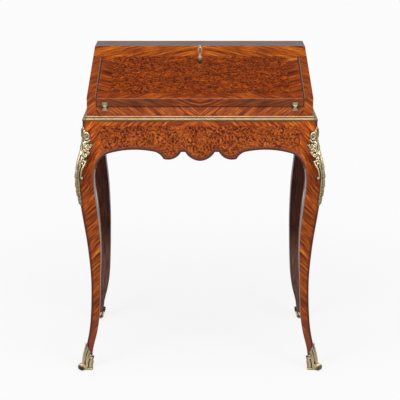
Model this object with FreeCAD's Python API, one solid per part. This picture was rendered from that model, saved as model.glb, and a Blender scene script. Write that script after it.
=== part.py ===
import FreeCAD
import Part

import math
import os

from FreeCAD import Placement, Rotation, Vector

# A slant-front writing desk on four cabriole legs, in millimetres.
# Origin on the floor at the centre of the plan, +Z up, +Y towards the back.

# Case: the box above the brass moulding
WRITING_HEIGHT = 765.0
CASE_RISE = 111.0
CASE_WIDTH = 604.0
CASE_DEPTH = 384.0
TOP_DEPTH = 87.0
TOP_THICKNESS = 19.0
SIDE_THICKNESS = 24.0
BACK_THICKNESS = 10.0
HINGE_RAIL_HEIGHT = 25.0
HINGE_RAIL_THICKNESS = 24.0
LOCK_RAIL_DROP = 6.0
LOCK_RAIL_DEPTH = 16.0
EDGE_EASE = 1.2
GROOVE_WIDTH = 3.0
GROOVE_DEPTH = 2.5

# Brass moulding between the case and the frieze
MOULDING_HEIGHT = 11.5
MOULDING_PROUD = 0.8
MOULDING_BEAD = 3.2
MOULDING_FILLET = 2.4
MOULDING_HOLLOW = 0.9

# Frieze: the shaped rails between the legs
FRIEZE_OVERHANG = 12.0
FRIEZE_THICKNESS = 24.0
ARCH_DEPTH = 80.5
ARCH_END_DEPTH = 93.0
BRACKET_DEPTH = 136.0
BRACKET_WIDTH = 34.0
CENTRE_LOBE_DROP = 31.0
CENTRE_LOBE_HALF = 40.0
NOTCH_WIDTH = 11.0
NOTCH_DROP = 6.0
SIDE_LOBE_DROP = 27.5
SIDE_LOBE_WIDTH = 48.0
SIDE_LOBE_LOW = 33.6
SIDE_LOBE_RISE = 22.0
SIDE_LOBE_BEAK = 2.0
SIDE_LOBE_BEND = (9.2, 12.1)
TENON_LENGTH = 14.0
TENON_THICKNESS = 8.0
TENON_HEIGHT = 55.0
TENON_TOP = 14.0

# Legs. Each knee station: drop below the frieze's top, corner swell, face swell, widening inside,
# then the gilt corner mount's wing along each face and its thickness at the corner
LEG_WIDTH = 32.0
LEG_ARRIS = 3.0
KNEE_STATIONS = [
    (0.0, 0.0, 0.0, 0.0, 0.0, 0.0),
    (20.0, 0.0, 0.0, 0.0, 4.0, 2.0),
    (40.0, 0.0, 0.0, 0.0, 20.0, 3.5),
    (58.0, 1.0, 0.0, 0.0, 24.0, 4.0),
    (76.0, 4.0, 0.0, 0.0, 29.0, 4.5),
    (104.0, 12.0, 2.0, 0.0, 25.0, 5.0),
    (134.0, 17.5, 7.0, 0.0, 14.0, 5.0),
    (160.0, 19.0, 11.0, -2.0, 12.0, 4.5),
    (190.0, 17.5, 12.5, -2.5, 8.0, 4.0),
    (226.0, 12.0, 10.5, -1.0, 3.0, 2.0),
    (262.0, 7.5, 7.5, 2.0, 0.0, 0.0),
]
SHANK_SWELL = -1.8
SHANK_WIDTH = 38.2
# Each foot station: height, swell, width inside the frieze line, how far it stands in along the depth
FOOT_STATIONS = [
    (335.0, -8.0, 38.5, 2.5),
    (275.0, -10.7, 35.8, 7.5),
    (215.0, -9.7, 33.2, 12.3),
    (155.0, -6.0, 29.5, 16.0),
    (100.0, 1.5, 20.5, 19.6),
    (60.0, 10.0, 10.5, 21.2),
]
LEG_TOE_SWELL = 16.5
LEG_TOE_WIDTH = 5.5

# Gilt corner mounts on the knees
CHUTE_EDGE = 1.2
CHUTE_PIN_STATIONS = [4, 7]
PIN_RADIUS = 1.0
PIN_LENGTH = 9.0
PIN_HEAD_RADIUS = 1.8
PIN_HEAD = 1.2

# Gilt shoes. Each station: height, corner swell, width inside the frieze line, stand-in as for the feet
SABOT_STATIONS = [
    (0.0, 19.5, 8.5, 22.0),
    (24.0, 19.0, 8.5, 22.0),
    (54.0, 13.8, 12.8, 21.4),
    (84.0, 7.4, 20.1, 20.3),
]
SABOT_HEEL_HEIGHT = 31.0
SABOT_SOLE = 6.0
SABOT_ARRIS = 4.0
TOE_RADIUS = 11.0
TOE_LENGTH = 20.0
TOE_SWELL = 20.0

# Fall: the sloping writing flap
FALL_THICKNESS = 22.0
FALL_SIDE_GAP = 0.5
FALL_TOP_GAP = 0.5
FALL_ARRIS = 2.0
FALL_STOP = 8.0
FALL_STOP_GAP = 0.3
FALL_STOP_CLEARANCE = 1.0
LEATHER_THICKNESS = 1.0
LEATHER_SIDE_BORDER = 36.0
LEATHER_FOOT_BORDER = 28.0
LEATHER_HEAD_BORDER = 52.0

# Hinges
HINGE_INSET = 14.5
HINGE_WIDTH = 18.0
HINGE_LEAF_HEIGHT = 12.0
HINGE_LEAF_THICKNESS = 1.6
HINGE_BARREL_RADIUS = 2.6
HINGE_PIN_RADIUS = 1.0
HINGE_PIN_CLEARANCE = 0.05
HINGE_CLEARANCE = 0.3
SCREW_RADIUS = 0.9
SCREW_HEAD_RADIUS = 1.8
SCREW_LENGTH = 9.0
HINGE_SCREW_SPACING = 10.0
HINGE_SCREW_PLACE = 7.5

# Lock, bolt, keeper and key
LOCK_WIDTH = 60.0
LOCK_HEIGHT = 42.0
LOCK_DEPTH = 16.0
LOCK_WALL = 1.5
LOCK_SCREW_INSET = 6.0
BOLT_WIDTH = 24.0
BOLT_THICKNESS = 6.0
BOLT_LEVEL = 7.0
BOLT_LENGTH = 25.0
BOLT_THROW = 8.0
BOLT_CLEARANCE = 0.3
BOLT_SET_BACK = 0.3
KEEPER_WIDTH = 50.0
KEEPER_HEIGHT = 14.0
KEEPER_THICKNESS = 1.5
KEY_SETBACK = 30.0
KEY_SHANK_RADIUS = 2.4
KEY_CLEARANCE = 0.35
KEY_BIT_LENGTH = 9.0
KEY_BIT_HEIGHT = 4.0
KEY_BIT_THICKNESS = 2.0
KEY_BIT_LEVEL = 2.3
KEY_STEM = 20.0
KEY_BELL_GAP = 0.6
KEY_BELL_RADIUS = 5.2
KEY_BELL_HEIGHT = 8.0
KEY_COLLAR_RADIUS = 4.6
KEY_COLLAR_PLACE = 14.5
KEY_BOW_WIDTH = 14.0
KEY_BOW_HEIGHT = 26.0
KEY_BOW_BAR = 3.0
KEY_FINIAL_RADIUS = 2.8
ESCUTCHEON_WIDTH = 12.0
ESCUTCHEON_HEIGHT = 26.0
ESCUTCHEON_THICKNESS = 1.2

# Inside: writing bed, sliding well cover and the nest of drawers
FLOOR_THICKNESS = 10.0
FLOOR_DROP = 41.0
FLOOR_BATTEN = 12.0
FLOOR_CLEARANCE = 2.0
BED_THICKNESS = 12.0
BED_DEPTH = 58.0
COVER_LAP = 6.0
COVER_CLEARANCE = 0.3
FINGER_HOLE_RADIUS = 11.0
FINGER_HOLE_PLACE = 20.0
COVER_LEATHER_BORDER = 34.0
RUNNER_WIDTH = 12.0
RUNNER_HEIGHT = 12.0
NEST_SETBACK = 13.0
NEST_BOARD = 6.0
NEST_DIVIDER = 8.0
NEST_DIVIDER_SETBACK = 5.0
DRAWER_COUNT = 3
DRAWER_HEIGHT = 31.0
DRAWER_CLEARANCE = 0.5
DRAWER_BACK_GAP = 6.0
DRAWER_FRONT_THICKNESS = 8.0
DRAWER_WALL = 5.0
DRAWER_BOTTOM = 4.0
KNOB_RADIUS = 5.0
KNOB_FOOT_RADIUS = 4.0
KNOB_REACH = 12.0
KNOB_STEM_RADIUS = 2.2
KNOB_TENON_RADIUS = 2.0

# Worked-out places
TOTAL_HEIGHT = WRITING_HEIGHT + CASE_RISE
CASE_HALF = CASE_WIDTH / 2
INNER_HALF = CASE_HALF - SIDE_THICKNESS
FRONT = -CASE_DEPTH / 2
BACK = CASE_DEPTH / 2
BACK_INNER = BACK - BACK_THICKNESS
FRIEZE_X = CASE_HALF + FRIEZE_OVERHANG
FRIEZE_Y = BACK + FRIEZE_OVERHANG
MOULDING_TOP = WRITING_HEIGHT - HINGE_RAIL_HEIGHT
FRIEZE_TOP = MOULDING_TOP - MOULDING_HEIGHT
TOP_UNDER = TOTAL_HEIGHT - TOP_THICKNESS
TOP_FRONT = BACK - TOP_DEPTH

# The slope touches the top's front edge and passes one fall thickness outside the hinge line
SLOPE_RUN = TOP_FRONT - FRONT
SLOPE_REACH = math.hypot(SLOPE_RUN, CASE_RISE)
SLOPE = math.acos(FALL_THICKNESS / SLOPE_REACH) - math.atan2(SLOPE_RUN, CASE_RISE)
SLOPE_LENGTH = math.sqrt(SLOPE_REACH ** 2 - FALL_THICKNESS ** 2)
SLOPE_HEAD = SLOPE_LENGTH - TOP_THICKNESS / math.sin(SLOPE)
FALL_LENGTH = SLOPE_HEAD - FALL_TOP_GAP
FALL_HALF = INNER_HALF - FALL_SIDE_GAP
KEY_PLACE = FALL_LENGTH - KEY_SETBACK
HINGE_PLACE = FALL_HALF - HINGE_INSET - HINGE_WIDTH / 2

# Points this close are the same point
TOUCH = 1e-6

# On the fall, X runs across, Y up the slope from the hinge line and Z out of the outer face
FALL_PLANE = Placement(Vector(0, FRONT, WRITING_HEIGHT), Rotation(Vector(1, 0, 0), math.degrees(SLOPE)))

FLOOR_TOP = FRIEZE_TOP - FLOOR_DROP
BED_UNDER = WRITING_HEIGHT - BED_THICKNESS
BED_FRONT = FRONT + HINGE_RAIL_THICKNESS
COVER_FRONT = BED_FRONT + BED_DEPTH + COVER_CLEARANCE
LOCK_RAIL_BACK = (FRONT + SLOPE_HEAD * math.cos(SLOPE) + LOCK_RAIL_DROP * math.sin(SLOPE)
                  + LOCK_RAIL_DEPTH)
NEST_FRONT = LOCK_RAIL_BACK + NEST_SETBACK
COVER_BACK = NEST_FRONT + COVER_LAP
NEST_HALF = INNER_HALF - NEST_DIVIDER
DRAWER_FLOOR = WRITING_HEIGHT + NEST_BOARD
SHELF_UNDER = DRAWER_FLOOR + DRAWER_HEIGHT + 2 * DRAWER_CLEARANCE
SHELF_TOP = SHELF_UNDER + NEST_BOARD
BAY = (2 * NEST_HALF - (DRAWER_COUNT - 1) * NEST_DIVIDER) / DRAWER_COUNT


def box(x0, x1, y0, y1, z0, z1):
    """A block between two corners."""
    return Part.makeBox(x1 - x0, y1 - y0, z1 - z0, Vector(x0, y0, z0))


def polygon(points):
    """A closed wire through points."""
    return Part.makePolygon([*points, points[0]])


def prism_x(points, x0, x1):
    """An outline of (y, z) points, extruded from x0 to x1."""
    wire = polygon([Vector(x0, y, z) for y, z in points])
    return Part.Face(wire).extrude(Vector(x1 - x0, 0, 0))


def prism_z(points, z0, z1):
    """An outline of (x, y) points, extruded from z0 to z1."""
    wire = polygon([Vector(x, y, z0) for x, y in points])
    return Part.Face(wire).extrude(Vector(0, 0, z1 - z0))


def mirror_x(shape):
    """The shape on the other side of the desk, left for right."""
    return shape.mirror(Vector(0, 0, 0), Vector(1, 0, 0))


def mirror_y(shape):
    """The shape on the other side of the desk, front for back."""
    return shape.mirror(Vector(0, 0, 0), Vector(0, 1, 0))


def on_fall(shape):
    """A shape drawn flat on the fall, put in its place on the slope."""
    placed = shape.copy()
    placed.Placement = FALL_PLANE.multiply(placed.Placement)
    return placed


def fall_point(up, out):
    """(y, z) in the desk of a point up the slope and out of the fall's inner face."""
    point = FALL_PLANE.multVec(Vector(0, up, out))
    return point.y, point.z


def eased(shape, radius, choose):
    """The shape with the chosen edges rounded."""
    edges = [e for e in shape.Edges if choose(e)]
    return shape.makeFillet(radius, edges)


def along(edge, axis):
    """Whether a straight edge runs along X, Y or Z, given as 0, 1 or 2."""
    ends = [v.Point for v in edge.Vertexes]
    if len(ends) != 2:
        return False
    step = ends[1] - ends[0]
    return abs(abs(step[axis]) - step.Length) < TOUCH


def slope_height(y):
    """Height of the outer sloping plane over a depth y."""
    return TOTAL_HEIGHT - (TOP_FRONT - y) * math.tan(SLOPE)


def slope_depth(z):
    """Depth of the outer sloping plane at a height z."""
    return TOP_FRONT - (TOTAL_HEIGHT - z) / math.tan(SLOPE)


def save(name, *shapes):
    """Writes one node, made of one solid or of several separate ones."""
    solids = [solid for shape in shapes for solid in shape.Solids]
    for solid in solids:
        if not solid.isValid() or solid.Volume <= 0:
            raise ValueError(f"{name} has a bad solid")
    shape = solids[0] if len(solids) == 1 else Part.makeCompound(solids)
    shape.exportStep(f"parts/{name}.step")


def rounded_outline(points, radius, z):
    """A closed wire at height z through (x, y) corners, each rounded by an arc."""
    corners = [Vector(x, y, z) for x, y in points]
    count = len(corners)
    starts, middles, ends = [], [], []
    for n in range(count):
        before = (corners[n - 1] - corners[n]).normalize()
        after = (corners[(n + 1) % count] - corners[n]).normalize()
        half = before.getAngle(after) / 2
        reach = radius / math.tan(half)
        inward = (before + after).normalize()
        starts.append(corners[n] + before * reach)
        ends.append(corners[n] + after * reach)
        middles.append(corners[n] + inward * (radius / math.sin(half) - radius))
    edges = []
    for n in range(count):
        edges.append(Part.Arc(starts[n], middles[n], ends[n]).toShape())
        edges.append(Part.LineSegment(ends[n], starts[(n + 1) % count]).toShape())
    return Part.Wire(edges)


def leg_corners(corner, face, inside, stand_in=0.0):
    """The plan of a rear right leg: outer corner, side face, inner corner, back face."""
    y = FRIEZE_Y - stand_in
    return [
        (FRIEZE_X + corner, y + corner),
        (FRIEZE_X - inside, y + face),
        (FRIEZE_X - inside, y - inside),
        (FRIEZE_X + face, y - inside),
    ]


def leg_blank():
    """A rear right leg before its joints are cut: a smooth loft from the frieze to the shoe's sole."""
    sections = []
    for drop, corner, face, widening, _, _ in KNEE_STATIONS:
        outline = leg_corners(corner, face, LEG_WIDTH + widening)
        sections.append(rounded_outline(outline, LEG_ARRIS, FRIEZE_TOP - drop))
    shank_height = (FRIEZE_TOP - KNEE_STATIONS[-1][0] + FOOT_STATIONS[0][0]) / 2
    shank = (shank_height, SHANK_SWELL, SHANK_WIDTH, 0.0)
    toe = (SABOT_SOLE, LEG_TOE_SWELL, LEG_TOE_WIDTH, SABOT_STATIONS[0][3])
    for height, swell, inside, stand_in in [shank, *FOOT_STATIONS, toe]:
        sections.append(rounded_outline(leg_corners(swell, swell, inside, stand_in), LEG_ARRIS, height))
    return Part.makeLoft(sections, True, False)


def apex_span(apex, end):
    """A round span from its level apex to an end on its right: its start, a point on it and its end."""
    across = end.x - apex.x
    drop = end.z - apex.z
    radius = (across ** 2 + drop ** 2) / (2 * drop)
    half_turn = math.atan2(abs(drop), across)
    middle = apex + Vector(abs(radius) * math.sin(half_turn), 0, radius * (1 - math.cos(half_turn)))
    return apex, middle, end


def bracket_span(half):
    """The round bracket at a rail's right end, from the arch down to the leg, upright at the leg."""
    start = Vector(half - BRACKET_WIDTH, 0, FRIEZE_TOP - ARCH_END_DEPTH)
    end = Vector(half, 0, FRIEZE_TOP - BRACKET_DEPTH)
    rise = start.z - end.z
    radius = (BRACKET_WIDTH ** 2 + rise ** 2) / (2 * BRACKET_WIDTH)
    half_turn = math.atan2(BRACKET_WIDTH, rise)
    middle = end + Vector(-radius * (1 - math.cos(half_turn)), 0, radius * math.sin(half_turn))
    return start, middle, end


def plain_spans(half):
    """Right half of a plain rail's lower edge: one arch over the whole width, then the bracket."""
    bracket = bracket_span(half)
    crown = Vector(0, 0, FRIEZE_TOP - ARCH_DEPTH)
    return [apex_span(crown, bracket[0]), bracket]


def lobed_spans(half):
    """Right half of the front rail's lower edge: half a lobe, a notch, a lobe, an arch, the bracket."""
    arch_level = FRIEZE_TOP - ARCH_DEPTH
    notch_level = arch_level - NOTCH_DROP
    centre = Vector(0, 0, arch_level - CENTRE_LOBE_DROP)
    lobe_end = Vector(CENTRE_LOBE_HALF, 0, notch_level)
    notch_end = Vector(CENTRE_LOBE_HALF + NOTCH_WIDTH, 0, notch_level)
    lobe_low = Vector(notch_end.x + SIDE_LOBE_LOW, 0, arch_level - SIDE_LOBE_DROP)
    beak = Vector(notch_end.x + SIDE_LOBE_WIDTH, 0, lobe_low.z + SIDE_LOBE_BEAK)
    rise_end = Vector(beak.x + SIDE_LOBE_RISE, 0, notch_level)
    bend_across, bend_up = SIDE_LOBE_BEND
    rise_middle = beak + Vector(bend_across, 0, bend_up)
    bracket = bracket_span(half)
    crown = Vector((rise_end.x + bracket[0].x) / 2, 0, arch_level)
    return [
        apex_span(centre, lobe_end),
        (lobe_end, None, notch_end),
        (notch_end, lobe_low, beak),
        (beak, rise_middle, rise_end),
        (rise_end, crown, bracket[0]),
        bracket,
    ]


def span_edge(span):
    """A straight edge, or a round one where the span has a middle point."""
    start, middle, end = span
    if middle is None:
        return Part.LineSegment(start, end).toShape()
    return Part.Arc(start, middle, end).toShape()


def mirrored_span(span):
    """The span on the other side of x = 0, run the other way."""
    return tuple(point and Vector(-point.x, point.y, point.z) for point in reversed(span))


def frieze_rail(half, right_spans):
    """A shaped rail along X behind the plane y = 0, with a tenon at each end."""
    low_right = right_spans[-1][-1]
    low_left = Vector(-low_right.x, 0, low_right.z)
    top_right = Vector(half, 0, FRIEZE_TOP)
    top_left = Vector(-half, 0, FRIEZE_TOP)
    left_spans = [mirrored_span(span) for span in reversed(right_spans)]
    sides = [(low_right, None, top_right), (top_right, None, top_left), (top_left, None, low_left)]
    edges = [span_edge(span) for span in [*right_spans, *sides, *left_spans]]
    rail = Part.Face(Part.Wire(edges)).extrude(Vector(0, FRIEZE_THICKNESS, 0))
    middle = FRIEZE_THICKNESS / 2
    tenon_top = FRIEZE_TOP - TENON_TOP
    for x in (-half - TENON_LENGTH, half):
        tenon = box(
            x, x + TENON_LENGTH,
            middle - TENON_THICKNESS / 2, middle + TENON_THICKNESS / 2,
            tenon_top - TENON_HEIGHT, tenon_top,
        )
        rail = rail.fuse(tenon)
    return rail


def make_frieze():
    """The four shaped rails between the legs, in their places."""
    half_x = FRIEZE_X - LEG_WIDTH
    half_y = FRIEZE_Y - LEG_WIDTH
    front = frieze_rail(half_x, lobed_spans(half_x))
    front.translate(Vector(0, -FRIEZE_Y, 0))
    back = frieze_rail(half_x, plain_spans(half_x))
    back.translate(Vector(0, FRIEZE_Y - FRIEZE_THICKNESS, 0))
    right = frieze_rail(half_y, plain_spans(half_y))
    right.rotate(Vector(0, 0, 0), Vector(0, 0, 1), 90)
    right.translate(Vector(FRIEZE_X, 0, 0))
    return front, back, mirror_x(right), right


def chute_blank():
    """A rear right corner mount before the leg is taken out: a tapering hood over the knee's corner."""
    sections = []
    for drop, corner, face, _, wing, thickness in KNEE_STATIONS:
        if wing == 0:
            continue
        lean = (corner - face) / LEG_WIDTH * wing
        near = corner - wing
        far = corner - lean + CHUTE_EDGE
        tip = corner + thickness
        outline = [(tip, tip), (near, far), (far, near)]
        z = FRIEZE_TOP - drop
        sections.append(polygon([Vector(FRIEZE_X + x, FRIEZE_Y + y, z) for x, y in outline]))
    return Part.makeLoft(sections, True, True)


def sabot_blank():
    """A rear right shoe before the leg is taken out: a flared cup with a sloping rim and a rolled toe."""
    sections = []
    for height, swell, inside, stand_in in SABOT_STATIONS:
        outline = leg_corners(swell, swell, inside, stand_in)
        sections.append(rounded_outline(outline, SABOT_ARRIS, height))
    cup = Part.makeLoft(sections, True, False)
    top, swell, inside, stand_in = SABOT_STATIONS[-1]
    outward = Vector(1, 1, 0).normalize()
    across = Vector(1, -1, 0).normalize()
    tip = Vector(FRIEZE_X + swell, FRIEZE_Y - stand_in + swell, top)
    heel = Vector(FRIEZE_X - inside, FRIEZE_Y - stand_in - inside, SABOT_HEEL_HEIGHT)
    reach = across * (2 * inside)
    rim = Part.Face(polygon([tip - reach, tip + reach, heel + reach, heel - reach]))
    cup = cup.cut(rim.extrude(outward * -inside + Vector(0, 0, top)))
    centre = Vector(FRIEZE_X + TOE_SWELL, FRIEZE_Y - SABOT_STATIONS[0][3] + TOE_SWELL, TOE_RADIUS)
    toe = Part.makeCylinder(TOE_RADIUS, TOE_LENGTH, centre - across * (TOE_LENGTH / 2), across)
    return cup.fuse(toe).removeSplitter()


def chute_pin(number):
    """A round-headed pin that holds a rear right corner mount to the leg at a knee station."""
    drop, corner, _, _, _, thickness = KNEE_STATIONS[number]
    outward = Vector(1, 1, 0).normalize()
    seat = Vector(FRIEZE_X + corner + thickness, FRIEZE_Y + corner + thickness, FRIEZE_TOP - drop)
    seat = seat - outward * PIN_HEAD
    shank = Part.makeCylinder(PIN_RADIUS, PIN_LENGTH, seat - outward * PIN_LENGTH, outward)
    head = Part.makeCylinder(PIN_HEAD_RADIUS, PIN_HEAD, seat, outward)
    return shank.fuse(head).removeSplitter()


def make_corners(rails):
    """Legs, corner mounts, their pins and shoes for all four corners, cut to fit each other."""
    pins = [chute_pin(number) for number in CHUTE_PIN_STATIONS]
    leg = leg_blank()
    for cutter in [*rails, *pins]:
        leg = leg.cut(cutter)
    chute = chute_blank().cut(leg_blank())
    for pin in pins:
        chute = chute.cut(pin)
    chute = max(chute.Solids, key=lambda solid: solid.Volume)
    sabot = max(sabot_blank().cut(leg_blank()).Solids, key=lambda solid: solid.Volume)
    leg = max(leg.Solids, key=lambda solid: solid.Volume)
    return leg, chute, sabot, pins


def save_corners(rails):
    """Every corner is the rear right one, mirrored."""
    leg, chute, sabot, pins = make_corners(rails)
    corners = {
        "rear_right": lambda shape: shape,
        "rear_left": mirror_x,
        "front_right": mirror_y,
        "front_left": lambda shape: mirror_x(mirror_y(shape)),
    }
    every_pin = []
    for corner, turn in corners.items():
        save(f"leg_{corner}", turn(leg))
        save(f"corner_mount_{corner}", turn(chute))
        save(f"sabot_{corner}", turn(sabot))
        every_pin += [turn(pin) for pin in pins]
    save("corner_mount_pins", *every_pin)


def moulding_outline():
    """(out, up) points of the brass moulding: a bead over a hollow over a square edge."""
    out = FRIEZE_OVERHANG + MOULDING_PROUD
    up = MOULDING_HEIGHT
    bead = Vector(MOULDING_BEAD, 0, up)
    neck = Vector(out - MOULDING_BEAD, 0, MOULDING_FILLET)
    bead_low = Vector(2 * MOULDING_BEAD, 0, up - MOULDING_BEAD)
    diagonal = MOULDING_BEAD * math.sqrt(0.5)
    bead_mid = Vector(MOULDING_BEAD + diagonal, 0, up - MOULDING_BEAD + diagonal)
    hollow_mid = (bead_low + neck) / 2 - Vector(MOULDING_HOLLOW, 0, MOULDING_HOLLOW)
    corner = Vector(out, 0, MOULDING_FILLET)
    foot = Vector(out, 0, 0)
    heel = Vector(0, 0, 0)
    head = Vector(0, 0, up)
    return Part.Wire([
        Part.LineSegment(head, bead).toShape(),
        Part.Arc(bead, bead_mid, bead_low).toShape(),
        Part.Arc(bead_low, hollow_mid, neck).toShape(),
        Part.LineSegment(neck, corner).toShape(),
        Part.LineSegment(corner, foot).toShape(),
        Part.LineSegment(foot, heel).toShape(),
        Part.LineSegment(heel, head).toShape(),
    ])


def moulding_length(half_run, stand_off):
    """One mitred length of moulding on the right of the desk, running along Y between the mitres."""
    reach = FRIEZE_OVERHANG + MOULDING_PROUD
    bar = Part.Face(moulding_outline()).extrude(Vector(0, 2 * (half_run + reach), 0))
    bar.translate(Vector(stand_off, -half_run - reach, FRIEZE_TOP))
    mitre = prism_z(
        [
            (stand_off, -half_run),
            (stand_off + reach, -half_run - reach),
            (stand_off + reach, half_run + reach),
            (stand_off, half_run),
        ],
        FRIEZE_TOP, MOULDING_TOP,
    )
    return bar.common(mitre)


def save_mouldings():
    """Four mitred lengths that cover the step between the case and the frieze."""
    right = moulding_length(BACK, CASE_HALF)
    back = moulding_length(CASE_HALF, BACK)
    back.rotate(Vector(0, 0, 0), Vector(0, 0, 1), 90)
    save("moulding_right", right)
    save("moulding_left", mirror_x(right))
    save("moulding_rear", back)
    save("moulding_front", mirror_y(back))


def side_panel():
    """Right side of the case, with its sloping front edge bevelled on the inside."""
    outline = [
        (FRONT, FRIEZE_TOP),
        (FRONT, slope_height(FRONT)),
        (slope_depth(TOP_UNDER), TOP_UNDER),
        (BACK, TOP_UNDER),
        (BACK, FRIEZE_TOP),
    ]
    panel = prism_x(outline, INNER_HALF, CASE_HALF)
    bevel = Part.Face(polygon([
        Vector(INNER_HALF, -FALL_THICKNESS, FALL_THICKNESS),
        Vector(INNER_HALF + GROOVE_WIDTH, -FALL_THICKNESS, FALL_THICKNESS),
        Vector(INNER_HALF, -FALL_THICKNESS, FALL_THICKNESS - GROOVE_DEPTH),
    ])).extrude(Vector(0, FALL_THICKNESS + FALL_LENGTH, 0))
    return panel.cut(on_fall(bevel))


def save_case():
    """Top, sides, back, hinge rail and lock rail."""
    top = prism_x(
        [
            (slope_depth(TOP_UNDER), TOP_UNDER),
            (TOP_FRONT, TOTAL_HEIGHT),
            (BACK, TOTAL_HEIGHT),
            (BACK, TOP_UNDER),
        ],
        -CASE_HALF, CASE_HALF,
    )
    upper = TOTAL_HEIGHT - TOP_THICKNESS / 4
    save("top_board", eased(top, EDGE_EASE, lambda e: e.CenterOfMass.z > upper))
    side = side_panel()
    save("side_right", side)
    save("side_left", mirror_x(side))
    save("back_panel", box(-INNER_HALF, INNER_HALF, BACK_INNER, BACK, FRIEZE_TOP, TOP_UNDER))
    save("hinge_rail", hinge_rail())
    save("lock_rail", lock_rail())


def hinge_rail():
    """The rail that carries the hinges, with its front arris eased and the hinges let in."""
    rail = box(-INNER_HALF, INNER_HALF, FRONT, BED_FRONT, FRIEZE_TOP, WRITING_HEIGHT)
    rail = eased(rail, EDGE_EASE / 2, lambda e: along(e, 0) and e.CenterOfMass.y < FRONT + TOUCH
                 and e.CenterOfMass.z > WRITING_HEIGHT - TOUCH)
    for side in (-1, 1):
        place = side * HINGE_PLACE
        low = place - HINGE_WIDTH / 2 - HINGE_CLEARANCE
        high = place + HINGE_WIDTH / 2 + HINGE_CLEARANCE
        rail = rail.cut(barrel(low, high, HINGE_BARREL_RADIUS + HINGE_CLEARANCE))
        rail = rail.cut(rail_leaf_plate(place))
    for screw in rail_screws():
        rail = rail.cut(screw)
    return rail


def lock_rail():
    """The rail under the top that the fall closes against, with the keeper and the bolt's mortise let in."""
    face_top = (slope_depth(TOP_UNDER), TOP_UNDER)
    face_low = fall_point(SLOPE_HEAD, -LOCK_RAIL_DROP)
    back_low = (LOCK_RAIL_BACK, face_low[1])
    back_top = (LOCK_RAIL_BACK, TOP_UNDER)
    rail = prism_x([face_top, face_low, back_low, back_top], -INNER_HALF, INNER_HALF)
    return rail.cut(on_fall(keeper_plate())).cut(on_fall(bolt_way(SLOPE_HEAD)))


def barrel(x0, x1, radius):
    """A cylinder along the hinge line."""
    return Part.makeCylinder(radius, x1 - x0, Vector(x0, FRONT, WRITING_HEIGHT), Vector(1, 0, 0))


def rail_leaf_plate(place):
    """The flat of a hinge leaf on the hinge rail."""
    return box(
        place - HINGE_WIDTH / 2, place + HINGE_WIDTH / 2,
        FRONT, FRONT + HINGE_LEAF_THICKNESS,
        WRITING_HEIGHT - HINGE_LEAF_HEIGHT, WRITING_HEIGHT,
    )


def fall_leaf_plate(place):
    """The flat of a hinge leaf on the fall's foot, drawn on the fall."""
    return box(
        place - HINGE_WIDTH / 2, place + HINGE_WIDTH / 2,
        0, HINGE_LEAF_THICKNESS,
        0, HINGE_LEAF_HEIGHT,
    )


def knuckle_spans(place):
    """Ends along X of a hinge's three knuckles: rail, fall, rail."""
    third = HINGE_WIDTH / 3
    start = place - HINGE_WIDTH / 2
    spans = []
    for n in range(3):
        low = start + n * third + (HINGE_CLEARANCE / 2 if n else 0)
        high = start + (n + 1) * third - (HINGE_CLEARANCE / 2 if n < 2 else 0)
        spans.append((low, high))
    return spans


def hinge_leaf(plate, place, own, others):
    """A leaf with its own knuckles, bored for the pin and cut clear of the other leaf's knuckles."""
    spans = knuckle_spans(place)
    leaf = plate
    for n in others:
        low, high = spans[n]
        gap = HINGE_CLEARANCE
        leaf = leaf.cut(barrel(low - gap, high + gap, HINGE_BARREL_RADIUS + gap))
    for n in own:
        leaf = leaf.fuse(barrel(*spans[n], HINGE_BARREL_RADIUS))
    bore = barrel(place - HINGE_WIDTH, place + HINGE_WIDTH, HINGE_PIN_RADIUS + HINGE_PIN_CLEARANCE)
    return leaf.removeSplitter().cut(bore)


def screw(at, inward):
    """A countersunk screw whose head is flush at a point."""
    head = SCREW_HEAD_RADIUS - SCREW_RADIUS
    cone = Part.makeCone(SCREW_HEAD_RADIUS, SCREW_RADIUS, head, at, inward)
    shank = Part.makeCylinder(SCREW_RADIUS, SCREW_LENGTH - head, at + inward * head, inward)
    return cone.fuse(shank).removeSplitter()


def hinge_screw_places():
    """X of every hinge screw."""
    return [side * HINGE_PLACE + end * HINGE_SCREW_SPACING / 2 for side in (-1, 1) for end in (-1, 1)]


def rail_screws():
    """Screws through the leaves on the hinge rail."""
    z = WRITING_HEIGHT - HINGE_SCREW_PLACE
    return [screw(Vector(x, FRONT, z), Vector(0, 1, 0)) for x in hinge_screw_places()]


def fall_screws():
    """Screws through the leaves on the fall's foot, drawn on the fall."""
    return [screw(Vector(x, 0, HINGE_SCREW_PLACE), Vector(0, 1, 0)) for x in hinge_screw_places()]


def save_hinges():
    """Two butt hinges: leaves, pins and screws."""
    rail_leaves, fall_leaves, pins = [], [], []
    for side in (-1, 1):
        place = side * HINGE_PLACE
        rail_leaf = hinge_leaf(rail_leaf_plate(place), place, (0, 2), (1,))
        fall_leaf = hinge_leaf(on_fall(fall_leaf_plate(place)), place, (1,), (0, 2))
        for item in rail_screws():
            rail_leaf = rail_leaf.cut(item)
        for item in fall_screws():
            fall_leaf = fall_leaf.cut(on_fall(item))
        rail_leaves.append(rail_leaf)
        fall_leaves.append(fall_leaf)
        pins.append(barrel(place - HINGE_WIDTH / 2, place + HINGE_WIDTH / 2, HINGE_PIN_RADIUS))
    save("hinge_leaves_rail", *rail_leaves)
    save("hinge_leaves_fall", *fall_leaves)
    save("hinge_pins", *pins)
    save("hinge_screws_rail", *rail_screws())
    save("hinge_screws_fall", *[on_fall(item) for item in fall_screws()])


def lock_block(grow=0.0):
    """The lock's outside, drawn on the fall."""
    half = LOCK_WIDTH / 2 + grow
    return box(-half, half, FALL_LENGTH - LOCK_HEIGHT - grow, FALL_LENGTH, 0, LOCK_DEPTH + grow)


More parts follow.
